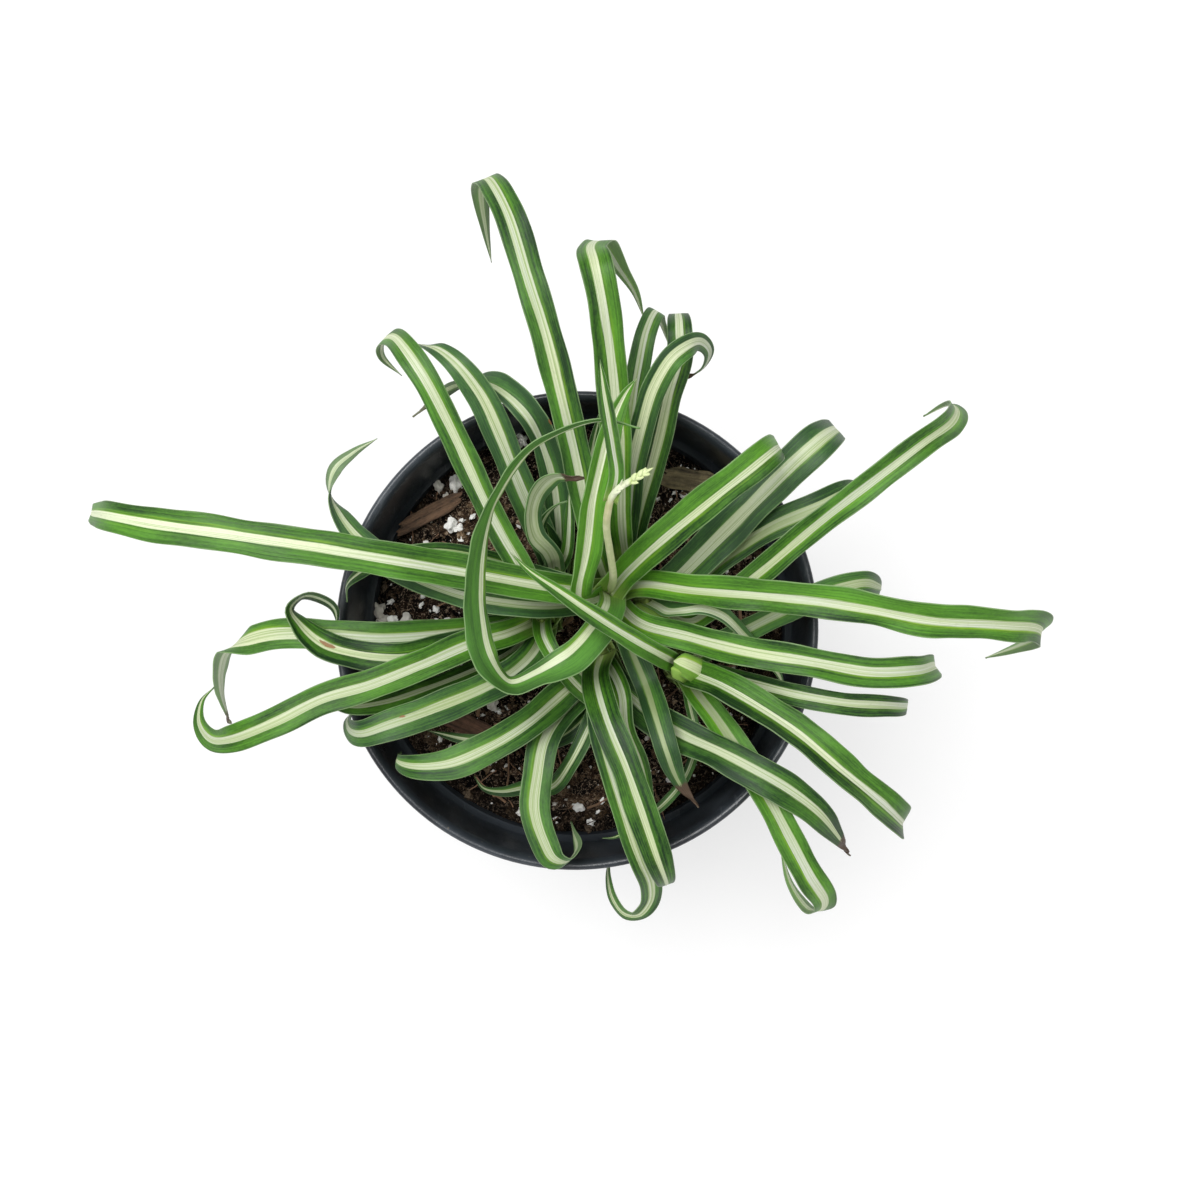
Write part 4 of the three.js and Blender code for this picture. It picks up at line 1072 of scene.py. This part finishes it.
# flower stalk: a pale stem with a head of closed, pointed buds
stalkLook = {
    "route": [(10.4, 12.2, 138), (11.2, 17, 160), (9.9, 25, 176), (9.1, 30, 186), (9.3, 33.8, 194),
              (10.4, 38, 201), (12.4, 40.4, 204), (16, 42.5, 206), (20.2, 45.2, 207)],
    "diameter": 2.4, "sides": 24, "step": 1.0, "taper": 0.12, "flat": 0.8,
    # how many ribs, and how high
    "ribs": (4, 0.07),
    # the narrow leaf that grows from the bend
    "leafRoute": [(10.3, 37.6, 199.5), (11.9, 44, 205), (11, 50.2, 212), (9.6, 57.3, 220),
                  (8.2, 64.5, 226), (7.2, 71.7, 230)],
    "leafWidth": 4.2, "leafShape": (0.15, None, 0.6), "leafLook": (0.32, 0.45, 0.1, 0, 0),
    "leafPattern": 90, "budSides": 14, "budRings": 10,
    # buds: how far back from the end, how far aside, length, breadth
    "buds": [(0.4, 0.1, 3.4, 1.1), (0.8, 0.8, 2.4, 1.8), (1.8, -0.8, 2.5, 1.8),
             (2.9, 0.5, 2.6, 2.0), (3.9, -1.0, 2.6, 1.8), (4.9, 0.9, 2.6, 1.8),
             (6.2, -0.4, 2.8, 1.9), (7.6, -1.3, 4.8, 0.9), (8.6, 0.3, 3.0, 1.6),
             (10.8, 0.3, 3.6, 1.9)],
}


def makeStalk(look):
    walk = walkRoute(look["route"], look["step"])
    length = walk["at"][-1]
    rows = len(walk["at"]) - 1
    bpy.ops.mesh.primitive_cylinder_add(vertices=look["sides"], radius=1, depth=1,
                                        end_fill_type="TRIFAN")
    stem = newest("stem")
    bpy.ops.object.mode_set(mode="EDIT")
    for share in range(1, rows):
        bpy.ops.mesh.select_all(action="SELECT")
        bpy.ops.mesh.bisect(plane_co=(0, 0, share / rows - 0.5), plane_no=(0, 0, 1))
    bpy.ops.object.mode_set(mode="OBJECT")
    plain = numbersOf(stem)
    row = np.rint((plain[:, 2] + 0.5) * rows).astype(int)
    radius = look["diameter"] * (0.5 - look["taper"] * row / rows)
    count, rise = look["ribs"]
    ribs = 1 + rise * np.cos(np.arctan2(plain[:, 1], plain[:, 0]) * count)
    place = (walk["point"][row] + walk["across"][row] * (plain[:, 0] * radius * ribs)[:, None]
             + walk["out"][row] * (plain[:, 1] * radius * ribs * look["flat"])[:, None])
    stem.data.vertices.foreach_set("co", (place * mm).ravel())
    parts = [stem]
    for i, (back, aside, size, breadth) in enumerate(look["buds"]):
        at = min(rows, int(round((length - back) / length * rows)))
        axes = [Vector(walk[key][at]) for key in ("across", "out", "along")]
        lean = (axes[2] * 1.2 + axes[0] * aside * 0.8
                + axes[1] * (0.6 if i % 2 else 0.0)).normalized()
        bpy.ops.mesh.primitive_uv_sphere_add(segments=look["budSides"],
                                             ring_count=look["budRings"], radius=0.5)
        bud = newest("bud")
        for vertex in bud.data.vertices:
            up = vertex.co.z + 0.5
            # three ribs, and drawn to a point
            angle = math.atan2(vertex.co.y, vertex.co.x)
            girth = (0.92 + 0.10 * math.cos(angle * 3)) * (1.2 - 0.75 * up)
            vertex.co.x *= girth
            vertex.co.y *= girth
        turn = lean.to_track_quat("Z", "Y").to_matrix().to_4x4()
        centre = Vector(walk["point"][at]) + axes[0] * aside * 0.8 + axes[1] * 0.4
        bud.data.transform(Matrix.Translation(centre * mm) @ turn
                           @ Matrix.Diagonal((breadth * mm, breadth * mm, size * mm, 1)))
        parts.append(bud)
    paint = stalkPaint()
    for part in parts:
        part.data.materials.append(paint)
        smooth(part)
    parts.append(bladeOf("stalkLeaf", walkRoute(look["leafRoute"], bladeLook["step"]),
                         look["leafWidth"], look["leafShape"], look["leafLook"],
                         look["leafPattern"]))
    piece = joined("flowerStalk", parts)
    return finishPiece(piece, "stalk", [], "flower_stalk")


def stalkPaint():
    paint = Paint("youngStalk")
    place = paint.objectPlace()
    fine = paint.noise(place, 1600, 3)
    patch = paint.noise(place, 240, 3)
    height, along = paint.axis(place, 2), paint.axis(place, 0)
    # cream, a little browner below the bend, greener among the buds
    buds = paint.mix(patch.over(0.44, 0.58), (164, 190, 92), (210, 222, 166))
    colour = paint.coats(
        (222, 222, 182), (patch.over(0.4, 0.6), (204, 210, 160)),
        (height.over(0.186, 0.196) * 0.3, (206, 186, 134)),
        (height.over(0.199, 0.203), (222, 228, 196)), (along.over(0.0145, 0.0160), buds))
    return paint.finish(Base_Color=colour, Roughness=fine * 0.2 + 0.4,
                        Normal=paint.bump(fine, 0.35, 0.0003))


makeStalk(stalkLook)
print("stalk done")
